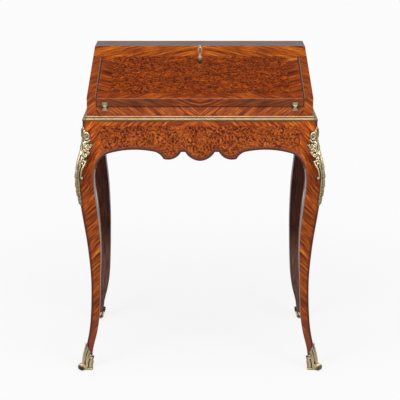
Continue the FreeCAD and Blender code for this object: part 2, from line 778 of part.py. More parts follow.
def bolt_section(y0, y1, gap):
    """A bar of the bolt's section with a gap all round, drawn on the fall."""
    half = BOLT_WIDTH / 2 + gap
    return box(-half, half, y0, y1, BOLT_LEVEL - gap, BOLT_LEVEL + BOLT_THICKNESS + gap)


def bolt_way(start):
    """The clear way that the bolt shoots into, from a place up the slope."""
    return bolt_section(start - FALL_TOP_GAP, start + BOLT_THROW, BOLT_CLEARANCE)


def keyhole(z0, z1, gap):
    """A round hole with a slot below it, drawn on the fall."""
    hole = Part.makeCylinder(KEY_SHANK_RADIUS + gap, z1 - z0, Vector(0, KEY_PLACE, z0))
    half = KEY_BIT_THICKNESS / 2 + gap
    slot = box(-half, half, KEY_PLACE - KEY_BIT_LENGTH - gap, KEY_PLACE, z0, z1)
    return hole.fuse(slot)


def keeper_plate():
    """The brass plate on the lock rail, drawn on the fall."""
    middle = BOLT_LEVEL + BOLT_THICKNESS / 2
    return box(
        -KEEPER_WIDTH / 2, KEEPER_WIDTH / 2,
        SLOPE_HEAD, SLOPE_HEAD + KEEPER_THICKNESS,
        middle - KEEPER_HEIGHT / 2, middle + KEEPER_HEIGHT / 2,
    )


def lock_screws():
    """Four screws that hold the lock into the fall, drawn on the fall."""
    across = LOCK_WIDTH / 2 - LOCK_SCREW_INSET
    low = FALL_LENGTH - LOCK_HEIGHT + LOCK_SCREW_INSET
    high = FALL_LENGTH - LOCK_SCREW_INSET
    places = [(x, y) for x in (-across, across) for y in (low, high)]
    inward = Vector(0, 0, 1)
    return [screw(Vector(x, y, 0), inward) for x, y in places]


def lock_case():
    """A hollow brass case with a keyhole and a slot for the bolt."""
    wall = LOCK_WALL
    half = LOCK_WIDTH / 2 - LOCK_SCREW_INSET - SCREW_HEAD_RADIUS - wall
    hollow = box(
        -half, half,
        FALL_LENGTH - LOCK_HEIGHT + wall, FALL_LENGTH - wall,
        wall, LOCK_DEPTH - wall,
    )
    case = lock_block().cut(hollow)
    case = case.cut(bolt_section(FALL_LENGTH - 2 * wall, FALL_LENGTH + wall, BOLT_CLEARANCE))
    case = case.cut(keyhole(LOCK_DEPTH - 2 * wall, LOCK_DEPTH + wall, KEY_CLEARANCE))
    for item in lock_screws():
        case = case.cut(item)
    return case


def key_bow(foot):
    """The key's oval ring, standing on a level out of the fall, with a small ball on its head."""
    centre = Vector(0, KEY_PLACE, foot + KEY_BOW_HEIGHT / 2)

    def oval(trim):
        ring = Part.Ellipse(Vector(0, 0, 0), KEY_BOW_HEIGHT / 2 - trim, KEY_BOW_WIDTH / 2 - trim)
        disc = Part.Face(Part.Wire(ring.toShape())).extrude(Vector(0, 0, KEY_BOW_BAR))
        disc.rotate(Vector(0, 0, 0), Vector(0, 0, 1), 90)
        disc.rotate(Vector(0, 0, 0), Vector(1, 0, 0), 90)
        disc.translate(centre + Vector(0, KEY_BOW_BAR / 2, 0))
        return disc

    head = Vector(0, KEY_PLACE, foot + KEY_BOW_HEIGHT + KEY_FINIAL_RADIUS / 2)
    return oval(0).cut(oval(KEY_BOW_BAR)).fuse(Part.makeSphere(KEY_FINIAL_RADIUS, head))


def key():
    """A key in its lock: bit, shank, bell, ball collar and bow."""
    outward = Vector(0, 0, 1)
    foot = Vector(0, KEY_PLACE, KEY_BIT_LEVEL)
    bow_foot = FALL_THICKNESS + KEY_STEM
    shank = Part.makeCylinder(KEY_SHANK_RADIUS, bow_foot + KEY_BOW_BAR / 2 - KEY_BIT_LEVEL, foot, outward)
    bit = box(
        -KEY_BIT_THICKNESS / 2, KEY_BIT_THICKNESS / 2,
        KEY_PLACE - KEY_BIT_LENGTH, KEY_PLACE,
        KEY_BIT_LEVEL, KEY_BIT_LEVEL + KEY_BIT_HEIGHT,
    )
    bell_seat = Vector(0, KEY_PLACE, FALL_THICKNESS + ESCUTCHEON_THICKNESS + KEY_BELL_GAP)
    bell = Part.makeCone(KEY_BELL_RADIUS, KEY_SHANK_RADIUS, KEY_BELL_HEIGHT, bell_seat, outward)
    collar = Part.makeSphere(KEY_COLLAR_RADIUS, Vector(0, KEY_PLACE, FALL_THICKNESS + KEY_COLLAR_PLACE))
    return shank.fuse([bit, bell, collar, key_bow(bow_foot)]).removeSplitter()


def escutcheon():
    """An oval brass plate round the keyhole, drawn on the fall."""
    ring = Part.Ellipse(Vector(0, 0, 0), ESCUTCHEON_HEIGHT / 2, ESCUTCHEON_WIDTH / 2)
    plate = Part.Face(Part.Wire(ring.toShape())).extrude(Vector(0, 0, ESCUTCHEON_THICKNESS))
    plate.rotate(Vector(0, 0, 0), Vector(0, 0, 1), 90)
    plate.translate(Vector(0, KEY_PLACE - KEY_BIT_LENGTH / 3, FALL_THICKNESS))
    return plate.cut(keyhole(LOCK_DEPTH, FALL_THICKNESS + 2 * ESCUTCHEON_THICKNESS, KEY_CLEARANCE))


def save_lock():
    """Lock case, bolt, keeper, key, escutcheon and screws."""
    bolt = bolt_section(FALL_LENGTH - BOLT_LENGTH, FALL_LENGTH - BOLT_SET_BACK, 0)
    save("lock_case", on_fall(lock_case()))
    save("lock_bolt", on_fall(bolt))
    save("lock_keeper", on_fall(keeper_plate().cut(bolt_way(SLOPE_HEAD))))
    save("lock_screws", *[on_fall(item) for item in lock_screws()])
    save("lock_key", on_fall(key()))
    save("escutcheon", on_fall(escutcheon()))


def fall_leather():
    """The leather let into the fall's inner face, drawn on the fall."""
    half = FALL_HALF - LEATHER_SIDE_BORDER
    return box(-half, half, LEATHER_FOOT_BORDER, FALL_LENGTH - LEATHER_HEAD_BORDER, 0, LEATHER_THICKNESS)


def fall_panel():
    """The fall's board, with the lock, leather and hinges let in, drawn on the fall."""
    panel = box(-FALL_HALF, FALL_HALF, 0, FALL_LENGTH, 0, FALL_THICKNESS)
    panel = eased(panel, FALL_ARRIS, lambda e: along(e, 0) and e.CenterOfMass.y < TOUCH
                  and e.CenterOfMass.z > FALL_THICKNESS - TOUCH)
    for side in (-1, 1):
        edge = side * FALL_HALF
        bevel = Part.Face(polygon([
            Vector(edge, 0, FALL_THICKNESS),
            Vector(edge - side * GROOVE_WIDTH, 0, FALL_THICKNESS),
            Vector(edge, 0, FALL_THICKNESS - GROOVE_DEPTH),
        ])).extrude(Vector(0, FALL_LENGTH, 0))
        panel = panel.cut(bevel)
    panel = eased(panel, EDGE_EASE / 2, lambda e: along(e, 0) and e.CenterOfMass.y < TOUCH
                  and e.CenterOfMass.z < TOUCH)
    panel = panel.cut(lock_block()).cut(fall_leather())
    panel = panel.cut(keyhole(LOCK_DEPTH - LOCK_WALL, FALL_THICKNESS + LOCK_WALL, KEY_CLEARANCE))
    for side in (-1, 1):
        place = side * HINGE_PLACE
        reach = HINGE_WIDTH / 2 + HINGE_CLEARANCE
        way = Part.makeCylinder(HINGE_BARREL_RADIUS + HINGE_CLEARANCE, 2 * reach,
                                Vector(place - reach, 0, 0), Vector(1, 0, 0))
        panel = panel.cut(way).cut(fall_leaf_plate(place))
    for item in [*fall_screws(), *lock_screws()]:
        panel = panel.cut(item)
    return panel


def save_fall():
    """The fall with its leather, and the stops on the sides that it rests on."""
    save("fall_panel", on_fall(fall_panel()))
    save("fall_leather", on_fall(fall_leather()))
    depth = FALL_STOP + FALL_STOP_GAP
    foot = (depth * math.cos(SLOPE) + FALL_STOP_CLEARANCE) / math.sin(SLOPE)
    head = FALL_LENGTH - FALL_STOP
    stop = on_fall(box(INNER_HALF - FALL_STOP, INNER_HALF, foot, head, -depth, -FALL_STOP_GAP))
    save("fall_stops", mirror_x(stop), stop)


def save_well():
    """Case floor and its battens, writing bed, runners and the sliding cover of the well."""
    floor_half_x = FRIEZE_X - FRIEZE_THICKNESS
    floor_half_y = FRIEZE_Y - LEG_WIDTH - FLOOR_CLEARANCE
    floor_under = FLOOR_TOP - FLOOR_THICKNESS
    floor = box(-floor_half_x, floor_half_x, -floor_half_y, floor_half_y, floor_under, FLOOR_TOP)
    save("case_floor", floor)
    batten = box(floor_half_x - FLOOR_BATTEN, floor_half_x, -floor_half_y, floor_half_y,
                 floor_under - FLOOR_BATTEN, floor_under)
    save("floor_battens", mirror_x(batten), batten)
    bed_back = BED_FRONT + BED_DEPTH
    save("writing_bed", box(-INNER_HALF, INNER_HALF, BED_FRONT, bed_back, BED_UNDER, WRITING_HEIGHT))
    runner_under = BED_UNDER - RUNNER_HEIGHT
    runner = box(INNER_HALF - RUNNER_WIDTH, INNER_HALF, BED_FRONT, BACK_INNER, runner_under, BED_UNDER)
    save("well_runners", mirror_x(runner), runner)
    half = INNER_HALF - COVER_CLEARANCE
    cover_top = WRITING_HEIGHT - COVER_CLEARANCE
    cover = box(-half, half, COVER_FRONT, COVER_BACK, BED_UNDER + COVER_CLEARANCE, cover_top)
    hole = Part.makeCylinder(FINGER_HOLE_RADIUS, BED_THICKNESS,
                             Vector(0, COVER_FRONT + FINGER_HOLE_PLACE, BED_UNDER))
    border = COVER_LEATHER_BORDER
    leather = box(-half + border, half - border, COVER_FRONT + border, COVER_BACK - border,
                  cover_top - LEATHER_THICKNESS, cover_top)
    save("well_cover", cover.cut(hole).cut(leather))
    save("well_cover_leather", leather)


def bay_start(number):
    """X of the left wall of a drawer's bay."""
    return -NEST_HALF + number * (BAY + NEST_DIVIDER)


def save_nest():
    """The fixed boards of the drawer nest under the top."""
    save("nest_floor", box(-INNER_HALF, INNER_HALF, NEST_FRONT, BACK_INNER, WRITING_HEIGHT, DRAWER_FLOOR))
    cheek = box(NEST_HALF, INNER_HALF, NEST_FRONT, BACK_INNER, DRAWER_FLOOR, TOP_UNDER)
    save("nest_cheeks", mirror_x(cheek), cheek)
    save("nest_shelf", box(-NEST_HALF, NEST_HALF, NEST_FRONT, BACK_INNER, SHELF_UNDER, SHELF_TOP))
    dividers = []
    for number in range(1, DRAWER_COUNT):
        right = bay_start(number)
        left = right - NEST_DIVIDER
        dividers.append(box(left, right, NEST_FRONT, BACK_INNER, DRAWER_FLOOR, SHELF_UNDER))
        dividers.append(box(left, right, NEST_FRONT + NEST_DIVIDER_SETBACK, BACK_INNER, SHELF_TOP, TOP_UNDER))
    save("nest_dividers", *dividers)


def knob(place):
    """A turned brass knob: a ball on a flared foot, with a tenon in the drawer's front."""
    out = Vector(0, -1, 0)
    back = place - out * DRAWER_FRONT_THICKNESS
    tenon = Part.makeCylinder(KNOB_TENON_RADIUS, DRAWER_FRONT_THICKNESS, back, out)
    foot = Part.makeCone(KNOB_FOOT_RADIUS, KNOB_STEM_RADIUS, KNOB_REACH / 3, place, out)
    ball = Part.makeSphere(KNOB_RADIUS, place + out * (KNOB_REACH - KNOB_RADIUS))
    return tenon.fuse([foot, ball]).removeSplitter()


def save_drawers():
    """Small drawers, each a front, a tray behind it and a knob."""
    names = ["left", "centre", "right"] if DRAWER_COUNT == 3 else [str(n + 1) for n in range(DRAWER_COUNT)]
    low = DRAWER_FLOOR + DRAWER_CLEARANCE
    high = low + DRAWER_HEIGHT
    back = BACK_INNER - DRAWER_BACK_GAP
    tray_front = NEST_FRONT + DRAWER_FRONT_THICKNESS
    for number, name in enumerate(names):
        x0 = bay_start(number) + DRAWER_CLEARANCE
        x1 = bay_start(number) + BAY - DRAWER_CLEARANCE
        handle = knob(Vector((x0 + x1) / 2, NEST_FRONT, (low + high) / 2))
        front = box(x0, x1, NEST_FRONT, tray_front, low, high).cut(handle)
        tray = box(x0, x1, tray_front, back, low, high)
        wall = DRAWER_WALL
        hollow = box(x0 + wall, x1 - wall, tray_front, back - wall, low + DRAWER_BOTTOM, high)
        save(f"drawer_{name}_front", front)
        save(f"drawer_{name}_tray", tray.cut(hollow))
        save(f"drawer_{name}_knob", handle)


def main():
    os.makedirs("parts", exist_ok=True)
    front, back, left, right = make_frieze()
    save("frieze_front", front)
    save("frieze_rear", back)
    save("frieze_left", left)
    save("frieze_right", right)
    save_corners([back, right])
    save_mouldings()
    save_case()
    save_hinges()
    save_lock()
    save_fall()
    save_well()
    save_nest()
    save_drawers()
    print(f"slope {math.degrees(SLOPE):.3f} degrees, fall {FALL_LENGTH:.2f} long")


main()
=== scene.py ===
"""A slant-front writing desk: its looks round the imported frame, in metres. +Z up, +Y to the back."""
import math
from functools import partialmethod

import bpy
import numpy as np
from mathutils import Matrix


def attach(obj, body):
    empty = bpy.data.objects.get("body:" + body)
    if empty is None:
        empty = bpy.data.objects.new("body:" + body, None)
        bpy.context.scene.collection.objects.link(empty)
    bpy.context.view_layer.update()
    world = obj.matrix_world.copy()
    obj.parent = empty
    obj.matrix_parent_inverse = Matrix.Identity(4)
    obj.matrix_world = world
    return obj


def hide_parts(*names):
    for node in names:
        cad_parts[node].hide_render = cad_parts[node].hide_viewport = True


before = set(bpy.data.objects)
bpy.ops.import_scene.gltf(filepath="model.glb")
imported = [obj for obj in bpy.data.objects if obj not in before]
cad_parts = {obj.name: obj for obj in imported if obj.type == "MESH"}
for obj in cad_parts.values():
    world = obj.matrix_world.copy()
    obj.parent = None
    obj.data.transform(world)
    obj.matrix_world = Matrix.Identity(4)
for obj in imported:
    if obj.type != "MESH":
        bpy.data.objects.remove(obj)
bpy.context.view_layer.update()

# Places of the desk, as in its construction
FRIEZE_X = 0.314
FRIEZE_Y = 0.204
FRIEZE_TOP = 0.7285
FRIEZE_THICKNESS = 0.024
LEG_WIDTH = 0.032
HINGE_Y = -0.192
HINGE_Z = 0.765
SLOPE = math.radians(16.514)
FALL_LENGTH = 0.24896
FALL_THICKNESS = 0.022
FALL_HALF = 0.2775
INNER_HALF = 0.278
CASE_HALF = 0.302
CASE_BACK = 0.192
KEY_UP = FALL_LENGTH - 0.030
HINGE_PLACE = FALL_HALF - 0.0235
CORNERS = {
    "front_left": (-1, -1),
    "front_right": (1, -1),
    "rear_left": (-1, 1),
    "rear_right": (1, 1),
}

# Knee stations in millimetres: drop below the frieze's top, corner swell, face swell, width inside its line
KNEE_STATIONS = [
    (0, 0, 0, 32), (20, 0, 0, 32), (40, 0, 0, 32), (58, 1, 0, 32), (76, 4, 0, 32), (104, 12, 2, 32),
    (134, 17.5, 7, 30.5), (160, 19, 11, 27.8), (190, 17.5, 12.5, 28), (226, 12, 10.5, 31.2),
    (262, 7.5, 7.5, 35),
]
# Foot stations in millimetres: height, swell, width inside the frieze line, stand-in along the depth
FOOT_STATIONS = [
    (400.75, -0.8, 39, 0), (335, -6.6, 39, 2.5), (275, -9.3, 35.8, 7.5), (215, -8.5, 33.2, 12.3),
    (155, -5.2, 29.5, 16), (100, 1.7, 20.5, 19.6), (60, 10, 10.5, 21.2), (6, 16.5, 5.5, 22),
]
# Shoe stations in millimetres, as for the feet
SHOE_STATIONS = np.array([
    (0, 19.5, 8.5, 22), (24, 19, 8.5, 22), (54, 13.8, 12.8, 21.4), (84, 7.4, 20.1, 20.3)])
SHOE_TIP = 82
# How much stouter inside the rear legs are, and how far in the rear shoes stand
REAR_WIDTH = 0.0045
REAR_TOE_IN = 0.002
# Heights in metres: the legs' lower end, the knee's joint with the rail, the gap under the moulding
LEG_FOOT = 0.006
KNEE_JOINT = FRIEZE_TOP - 0.136
HAIR = 0.0002
# The mounts in millimetres: reach to both sides of the corner, first and last drop, drops of the pins
MOUNT_REACH = 38
MOUNT_DROPS = (14, 240)
PIN_DROPS = (76, 160)


class Tree:
    """Adds nodes to a shader tree. What is given for an input is linked, or set on its socket."""

    def __init__(self, tree):
        self.tree = tree

    def feed(self, socket, value):
        if isinstance(value, bpy.types.NodeSocket):
            self.tree.links.new(value, socket)
        else:
            socket.default_value = value

    def add(self, kind, inputs=None, **settings):
        node = self.tree.nodes.new(kind if kind.startswith("Node") else "ShaderNode" + kind)
        for key, value in settings.items():
            setattr(node, key, value)
        for key, value in (inputs or {}).items():
            self.feed(node.inputs[key], value)
        return node

    def calculate(self, operation, *values, clamp=False):
        node = self.add("Math", operation=operation, use_clamp=clamp)
        for socket, value in zip(node.inputs, values):
            self.feed(socket, value)
        return node.outputs[0]

    plus = partialmethod(calculate, "ADD")
    minus = partialmethod(calculate, "SUBTRACT")
    times = partialmethod(calculate, "MULTIPLY")
    scaled = partialmethod(calculate, "MULTIPLY_ADD")
    least = partialmethod(calculate, "MINIMUM")
    most = partialmethod(calculate, "MAXIMUM")
    size = partialmethod(calculate, "ABSOLUTE")
    below = partialmethod(calculate, "LESS_THAN")
    above = partialmethod(calculate, "GREATER_THAN")

    def apart(self, first, second):
        """How far two values are from each other."""
        return self.size(self.minus(first, second))

    def add_up(self, *terms):
        """Sum of (value, factor) pairs."""
        total = None
        for value, factor in terms:
            part = self.times(value, factor)
            total = part if total is None else self.plus(total, part)
        return total

    def step(self, value, low, high):
        """Rises smoothly from 0 at low to 1 at high, also where high is below low."""
        flip = high < low
        inputs = {"Value": value, "From Min": min(low, high), "From Max": max(low, high)}
        node = self.add("MapRange", inputs, interpolation_type="SMOOTHSTEP", clamp=True)
        return self.minus(1.0, node.outputs[0]) if flip else node.outputs[0]

    def ridge(self, value, low, rise, fall, high):
        """Rises from 0 at low to 1 at rise, and sinks from 1 at fall to 0 at high."""
        return self.times(self.step(value, low, rise), self.step(value, high, fall))

    def noise(self, vector, scale, detail=3.0, roughness=0.5, distortion=0.0):
        node = self.add("TexNoise", {"Vector": vector, "Scale": scale, "Detail": detail,
                                     "Roughness": roughness, "Distortion": distortion})
        return node.outputs[0]

    def ramp(self, value, *stops):
        """Colours at places from 0 to 1, blended between."""
        node = self.add("ValToRGB", {"Fac": value})
        elements = node.color_ramp.elements
        for element, (place, colour) in zip((elements[0], elements[-1]), (stops[0], stops[-1])):
            element.position = place
            element.color = (*colour, 1)
        for place, colour in stops[1:-1]:
            elements.new(place).color = (*colour, 1)
        return node.outputs[0]

    def mix(self, factor, first, second, blend="MIX"):
        node = self.add("Mix", data_type="RGBA", blend_type=blend)
        for number, value in ((0, factor), (6, first), (7, second)):
            self.feed(node.inputs[number], (*value, 1) if isinstance(value, tuple) else value)
        return node.outputs[2]

    def choose(self, factor, first, second):
        node = self.add("Mix", data_type="FLOAT")
        for number, value in ((0, factor), (2, first), (3, second)):
            self.feed(node.inputs[number], value)
        return node.outputs[0]

    def split(self, vector):
        return self.add("SeparateXYZ", {"Vector": vector}).outputs[:]

    def join(self, x, y, z):
        return self.add("CombineXYZ", {"X": x, "Y": y, "Z": z}).outputs[0]

    def place(self):
        return self.add("TexCoord").outputs["Object"]

    def stretched(self, vector, scale):
        return self.add("Mapping", {"Vector": vector, "Scale": scale}).outputs[0]

    def attribute(self, name):
        return self.add("Attribute", attribute_name=name).outputs["Fac"]

    def use(self, group, **inputs):
        node = self.add("Group", node_tree=group)
        for key, value in inputs.items():
            self.feed(node.inputs[key], value)
        return node.outputs


def shader_group(name, inputs, outputs):
    """A node group with named sockets: its tree, its input sockets and its output node."""
    group = bpy.data.node_groups.new(name, "ShaderNodeTree")
    for label, kind in inputs.items():
        group.interface.new_socket(label, in_out="INPUT", socket_type="NodeSocket" + kind)
    for label, kind in outputs.items():
        group.interface.new_socket(label, in_out="OUTPUT", socket_type="NodeSocket" + kind)
    tree = Tree(group)
    source = tree.add("NodeGroupInput")
    sink = tree.add("NodeGroupOutput")
    return group, tree, [source.outputs[label] for label in inputs], sink.inputs


def make_streaks():
    """Striped crossbanding: noise drawn out along the streaks, fine over broad, with dark pores."""
    group, tree, (across, along, seed), out = shader_group(
        "streaks", {"Across": "Float", "Along": "Float", "Seed": "Float"},
        {"Color": "Color", "Height": "Float"})
    wander = tree.noise(tree.join(across, along, seed), 11.0, 2.0)
    bent = tree.scaled(wander, 0.016, across)
    drawn = tree.times(along, 0.075)
    base = tree.join(bent, drawn, seed)
    fine = tree.noise(base, 215.0, 4.0, 0.65)
    broad = tree.noise(base, 62.0, 2.0)
    pores = tree.noise(base, 620.0, 2.0)
    tone = tree.add_up((fine, 0.70), (broad, 0.30))
    tone = tree.add("MapRange", {"Value": tone, "From Min": 0.33, "From Max": 0.67}).outputs[0]
    colour = tree.ramp(
        tone, (0.0, (0.052, 0.0080, 0.0020)), (0.28, (0.155, 0.0240, 0.0040)),
        (0.55, (0.295, 0.0560, 0.0070)), (0.80, (0.425, 0.1040, 0.0140)), (1.0, (0.570, 0.1900, 0.0400)))
    dark = tree.times(tree.step(pores, 0.52, 0.72), 0.45)
    tree.feed(out["Color"], tree.mix(dark, colour, (0.07, 0.012, 0.004)))
    tree.feed(out["Height"], tree.minus(1.0, dark))
    return group


def make_burl():
    """Burl: a warped ground of curls, strewn with clusters of dark pips, each with a paler ring."""
    group, tree, (vector,), out = shader_group(
        "burl", {"Vector": "Vector"}, {"Color": "Color", "Height": "Float"})
    warp = tree.add("TexNoise", {"Vector": vector, "Scale": 34.0, "Detail": 2.0}).outputs["Color"]
    pull = tree.add("VectorMath", operation="SCALE")
    tree.feed(pull.inputs[0], warp)
    tree.feed(pull.inputs["Scale"], 0.020)
    moved = tree.add("VectorMath", operation="ADD")
    tree.feed(moved.inputs[0], vector)
    tree.feed(moved.inputs[1], pull.outputs[0])
    place = moved.outputs[0]
    curls = tree.noise(place, 85.0, 4.0, 0.6, 1.2)
    clouds = tree.noise(place, 20.0, 3.0)
    ground = tree.add_up((curls, 0.78), (clouds, 0.22))
    ground = tree.add("MapRange", {"Value": ground, "From Min": 0.36, "From Max": 0.64}).outputs[0]
    colour = tree.ramp(
        ground, (0.0, (0.090, 0.0130, 0.0022)), (0.35, (0.195, 0.0330, 0.0040)),
        (0.65, (0.330, 0.0720, 0.0080)), (1.0, (0.560, 0.1650, 0.0250)))
    cells = tree.add("TexVoronoi", {"Vector": place, "Scale": 128.0, "Randomness": 1.0}).outputs["Distance"]
    worms = tree.step(tree.noise(place, 165.0, 2.0, 0.5, 0.6), 0.50, 0.60)
    pip = tree.most(tree.step(cells, 0.55, 0.20), worms)
    ring = tree.ridge(cells, 0.40, 0.55, 0.55, 0.75)
    crowd = tree.step(tree.noise(place, 40.0, 2.0), 0.28, 0.56)
    colour = tree.mix(tree.times(ring, 0.50), colour, (0.58, 0.170, 0.028))
    spot = tree.times(tree.times(pip, crowd), 0.88)
    tree.feed(out["Color"], tree.mix(spot, colour, (0.060, 0.0075, 0.0020)))
    tree.feed(out["Height"], tree.minus(curls, spot))
    return group


def make_polish():
    """French polish: nearly even gloss, dulled a little in patches and by fine rubbing marks."""
    group, tree, (vector,), out = shader_group("polish", {"Vector": "Vector"}, {"Roughness": "Float"})
    patches = tree.noise(vector, 14.0, 3.0)
    rubbing = tree.noise(vector, 260.0, 2.0)
    tree.feed(out["Roughness"], tree.plus(tree.add_up((patches, 0.20), (rubbing, 0.10)), 0.20))
    return group


def make_patina():
    """Worn gilding: pale gold on what stands proud, dull brown-green by the recess: dirt where polish never
    reaches, and painted shade where a piece's recess marks it.
    """
    group, tree, (vector, recess, tone), out = shader_group(
        "patina", {"Vector": "Vector", "Recess": "Float", "Tone": "Color"},
        {"Color": "Color", "Roughness": "Float", "Height": "Float"})
    clouds = tree.noise(vector, 70.0, 4.0, 0.6)
    grains = tree.noise(vector, 900.0, 2.0)
    dirt_and_painted_shade = tree.times(recess, tree.scaled(clouds, 1.2, 0.4), clamp=True)
    rubbed = tree.ramp(
        clouds, (0.30, (0.72, 0.70, 0.66)), (0.55, (0.95, 0.95, 0.95)), (0.75, (1.0, 1.0, 1.0)))
    gold = tree.mix(1.0, tone, rubbed, "MULTIPLY")
    tree.feed(out["Color"], tree.mix(dirt_and_painted_shade, gold, (0.055, 0.045, 0.022)))
    tree.feed(out["Roughness"], tree.plus(tree.add_up((dirt_and_painted_shade, 0.22), (grains, 0.10)), 0.25))
    tree.feed(out["Height"], grains)
    return group


STREAKS = make_streaks()
BURL = make_burl()
POLISH = make_polish()
PATINA = make_patina()


def new_material(name):
    """An empty node material and its tree."""
    material = bpy.data.materials.new(name)
    material.use_nodes = True
    material.node_tree.nodes.clear()
    return material, Tree(material.node_tree)


def surfaced(tree, sockets, height=None, strength=0.0, distance=0.0003):
    """Closes a material: one shader with these sockets, bumped by a height where there is one."""
    if height is not None:
        bump = tree.add("Bump", {"Strength": strength, "Distance": distance, "Height": height})
        sockets = sockets | {"Normal": bump.outputs[0]}
    shader = tree.add("BsdfPrincipled", sockets)
    tree.add("OutputMaterial", {"Surface": shader.outputs[0]})


def polished_wood(name, figure, coat=0.4):
    """Wood under a clear polish. The figure gives the colour and grain height at an Object place, and a
    coat of its own where the polish isn't even."""
    material, tree = new_material(name)
    place = tree.place()
    colour, height, *own_coat = figure(tree, place)
    surfaced(tree, {
        "Base Color": colour, "Roughness": tree.use(POLISH, Vector=place)["Roughness"],
        "Specular IOR Level": 0.04, "Coat Weight": own_coat[0] if own_coat else coat,
        "Coat Roughness": 0.07, "Coat IOR": 1.5,
    }, height, 0.12, 0.0004)
    return material


def chevron(tree, side, up, degrees, seed, peaked=True):
    """Streaks at an angle over |side|: they rise to the middle where peaked, else fall to it."""
    turn = math.radians(degrees)
    lean = math.sin(turn) if peaked else -math.sin(turn)
    run = -math.cos(turn) if peaked else math.cos(turn)
    across = tree.add_up((side, lean), (up, math.cos(turn)))
    along = tree.add_up((side, run), (up, math.sin(turn)))
    return tree.use(STREAKS, Across=across, Along=along, Seed=seed)


def fall_place(tree, place):
    """Coordinates on the fall: |x|, up the slope from the hinge line, out of the inner face."""
    hinge_line = {"Vector": place, "Location": (0, HINGE_Y, HINGE_Z), "Rotation": (SLOPE, 0, 0)}
    x, up, out = tree.split(tree.add("Mapping", hinge_line, vector_type="TEXTURE").outputs[0])
    return tree.size(x), up, out


def dressed(tree, colour, amount, shade, strength=1.0):
    """The colour, taken towards a shade by an amount from 0 to 1 times a strength."""
    return tree.mix(tree.times(amount, strength), colour, shade)


def toned(tree, colour, tone):
    """The colour, multiplied by a tone."""
    return tree.mix(1.0, colour, tone, "MULTIPLY")


def enriched(tree, colour, power, tone):
    """The colour with its contrast raised to a power, multiplied by a tone."""
    return toned(tree, tree.add("Gamma", {"Color": colour, "Gamma": power}).outputs[0], tone)


# Dark wood of joints and edges, also used as painted shade; a painted sheen for rounded edges, with
# APRON_EDGE its darker kind; dark stained wood, also used as painted shade; painted shade in the grooves
EDGE_WOOD_AND_SHADE = (0.060, 0.0145, 0.0085)
EDGE_SHEEN = (0.275, 0.0860, 0.0550)
APRON_EDGE = (0.140, 0.0460, 0.0290)
DARK_WOOD_AND_SHADE = (0.024, 0.0065, 0.0042)
GROOVE = (0.060, 0.0220, 0.0120)

# Widths of the bands of veneer, and how steep the mitre between the fall's side and foot bands is
SIDE_BAND = 0.036
FOOT_BAND = 0.033
MITRE = 1.09
PANEL_BAND = 0.026
STRIP_BAND = 0.014
END_BAND = 0.046


def fall_figure(tree, place):
    """Burl in a mitred crossband on the fall's face, dark banding on its end, plain wood inside. A small
    piece of veneer is let in at the upper right. A painted highlight runs along the arris above the end, and
    painted shade darkens the face's sides by the grooves."""
    side, up, out = fall_place(tree, place)
    x = tree.split(place)[0]
    from_side = tree.minus(FALL_HALF, side)
    in_side = tree.below(from_side, SIDE_BAND)
    band = tree.most(in_side, tree.below(up, FOOT_BAND))
    clear_foot = tree.below(from_side, tree.times(up, MITRE))
    clear_head = tree.below(from_side, tree.minus(FALL_LENGTH, up))
    side_band = tree.times(in_side, tree.times(clear_foot, clear_head))
    rising = chevron(tree, side, up, 30, 4.0)
    falling = chevron(tree, side, up, 24, 9.0, peaked=False)
    banding = tree.mix(side_band, rising["Color"], falling["Color"])
    burl = tree.use(BURL, Vector=tree.join(tree.times(x, 0.82), tree.times(up, 2.20), out))
    speckled = enriched(tree, burl["Color"], 1.52, (1.24, 1.70, 0.78))
    face = tree.mix(band, speckled, enriched(tree, banding, 1.30, (1.09, 1.48, 1.25)))
    joint_and_gap_shade = tree.least(tree.apart(from_side, SIDE_BAND), tree.apart(up, FOOT_BAND))
    face = dressed(tree, face, tree.step(joint_and_gap_shade, 0.0009, 0.0002), EDGE_WOOD_AND_SHADE, 0.5)
    rise = tree.apart(tree.scaled(x, -0.35, up), 0.1405)
    let_in = tree.most(tree.minus(rise, 0.0075), tree.minus(tree.apart(x, 0.2615), 0.0125))
    face = dressed(tree, face, tree.step(let_in, 0.0024, 0.0010), EDGE_WOOD_AND_SHADE, 0.55)
    face = dressed(tree, face, tree.step(let_in, 0.0006, -0.0002), (0.46, 0.130, 0.030), 0.80)
    end_band = chevron(tree, side, out, 20, 14.0, peaked=False)["Color"]
    end = tree.mix(0.34, enriched(tree, end_band, 1.30, (1.70, 2.70, 2.85)), (0.100, 0.028, 0.0130))
    end = dressed(tree, end, tree.step(side, 0.03, 0.16), (0.062, 0.022, 0.011), 0.40)
    face = tree.mix(tree.step(up, 0.0034, 0.0026), face, end)
    # Painted highlight: a pale line along the arris above the end band.
    wear_and_painted_light = tree.ridge(up, 0.0026, 0.0034, 0.0044, 0.0054)
    face = dressed(tree, face, wear_and_painted_light, (0.33, 0.190, 0.140), 0.65)
    colour = tree.mix(tree.step(out, FALL_THICKNESS - 0.0032, FALL_THICKNESS - 0.0026), end, face)
    # Painted shade: the face's sides darkened by the grooves beside them.
    colour = dressed(tree, colour, tree.step(from_side, 0.0026, 0.0019), GROOVE)
    inside = tree.use(STREAKS, Across=up, Along=side, Seed=21.0)["Color"]
    colour = tree.mix(tree.step(out, 0.0012, 0.0004), colour, inside)
    return colour, tree.mix(band, burl["Height"], rising["Height"])


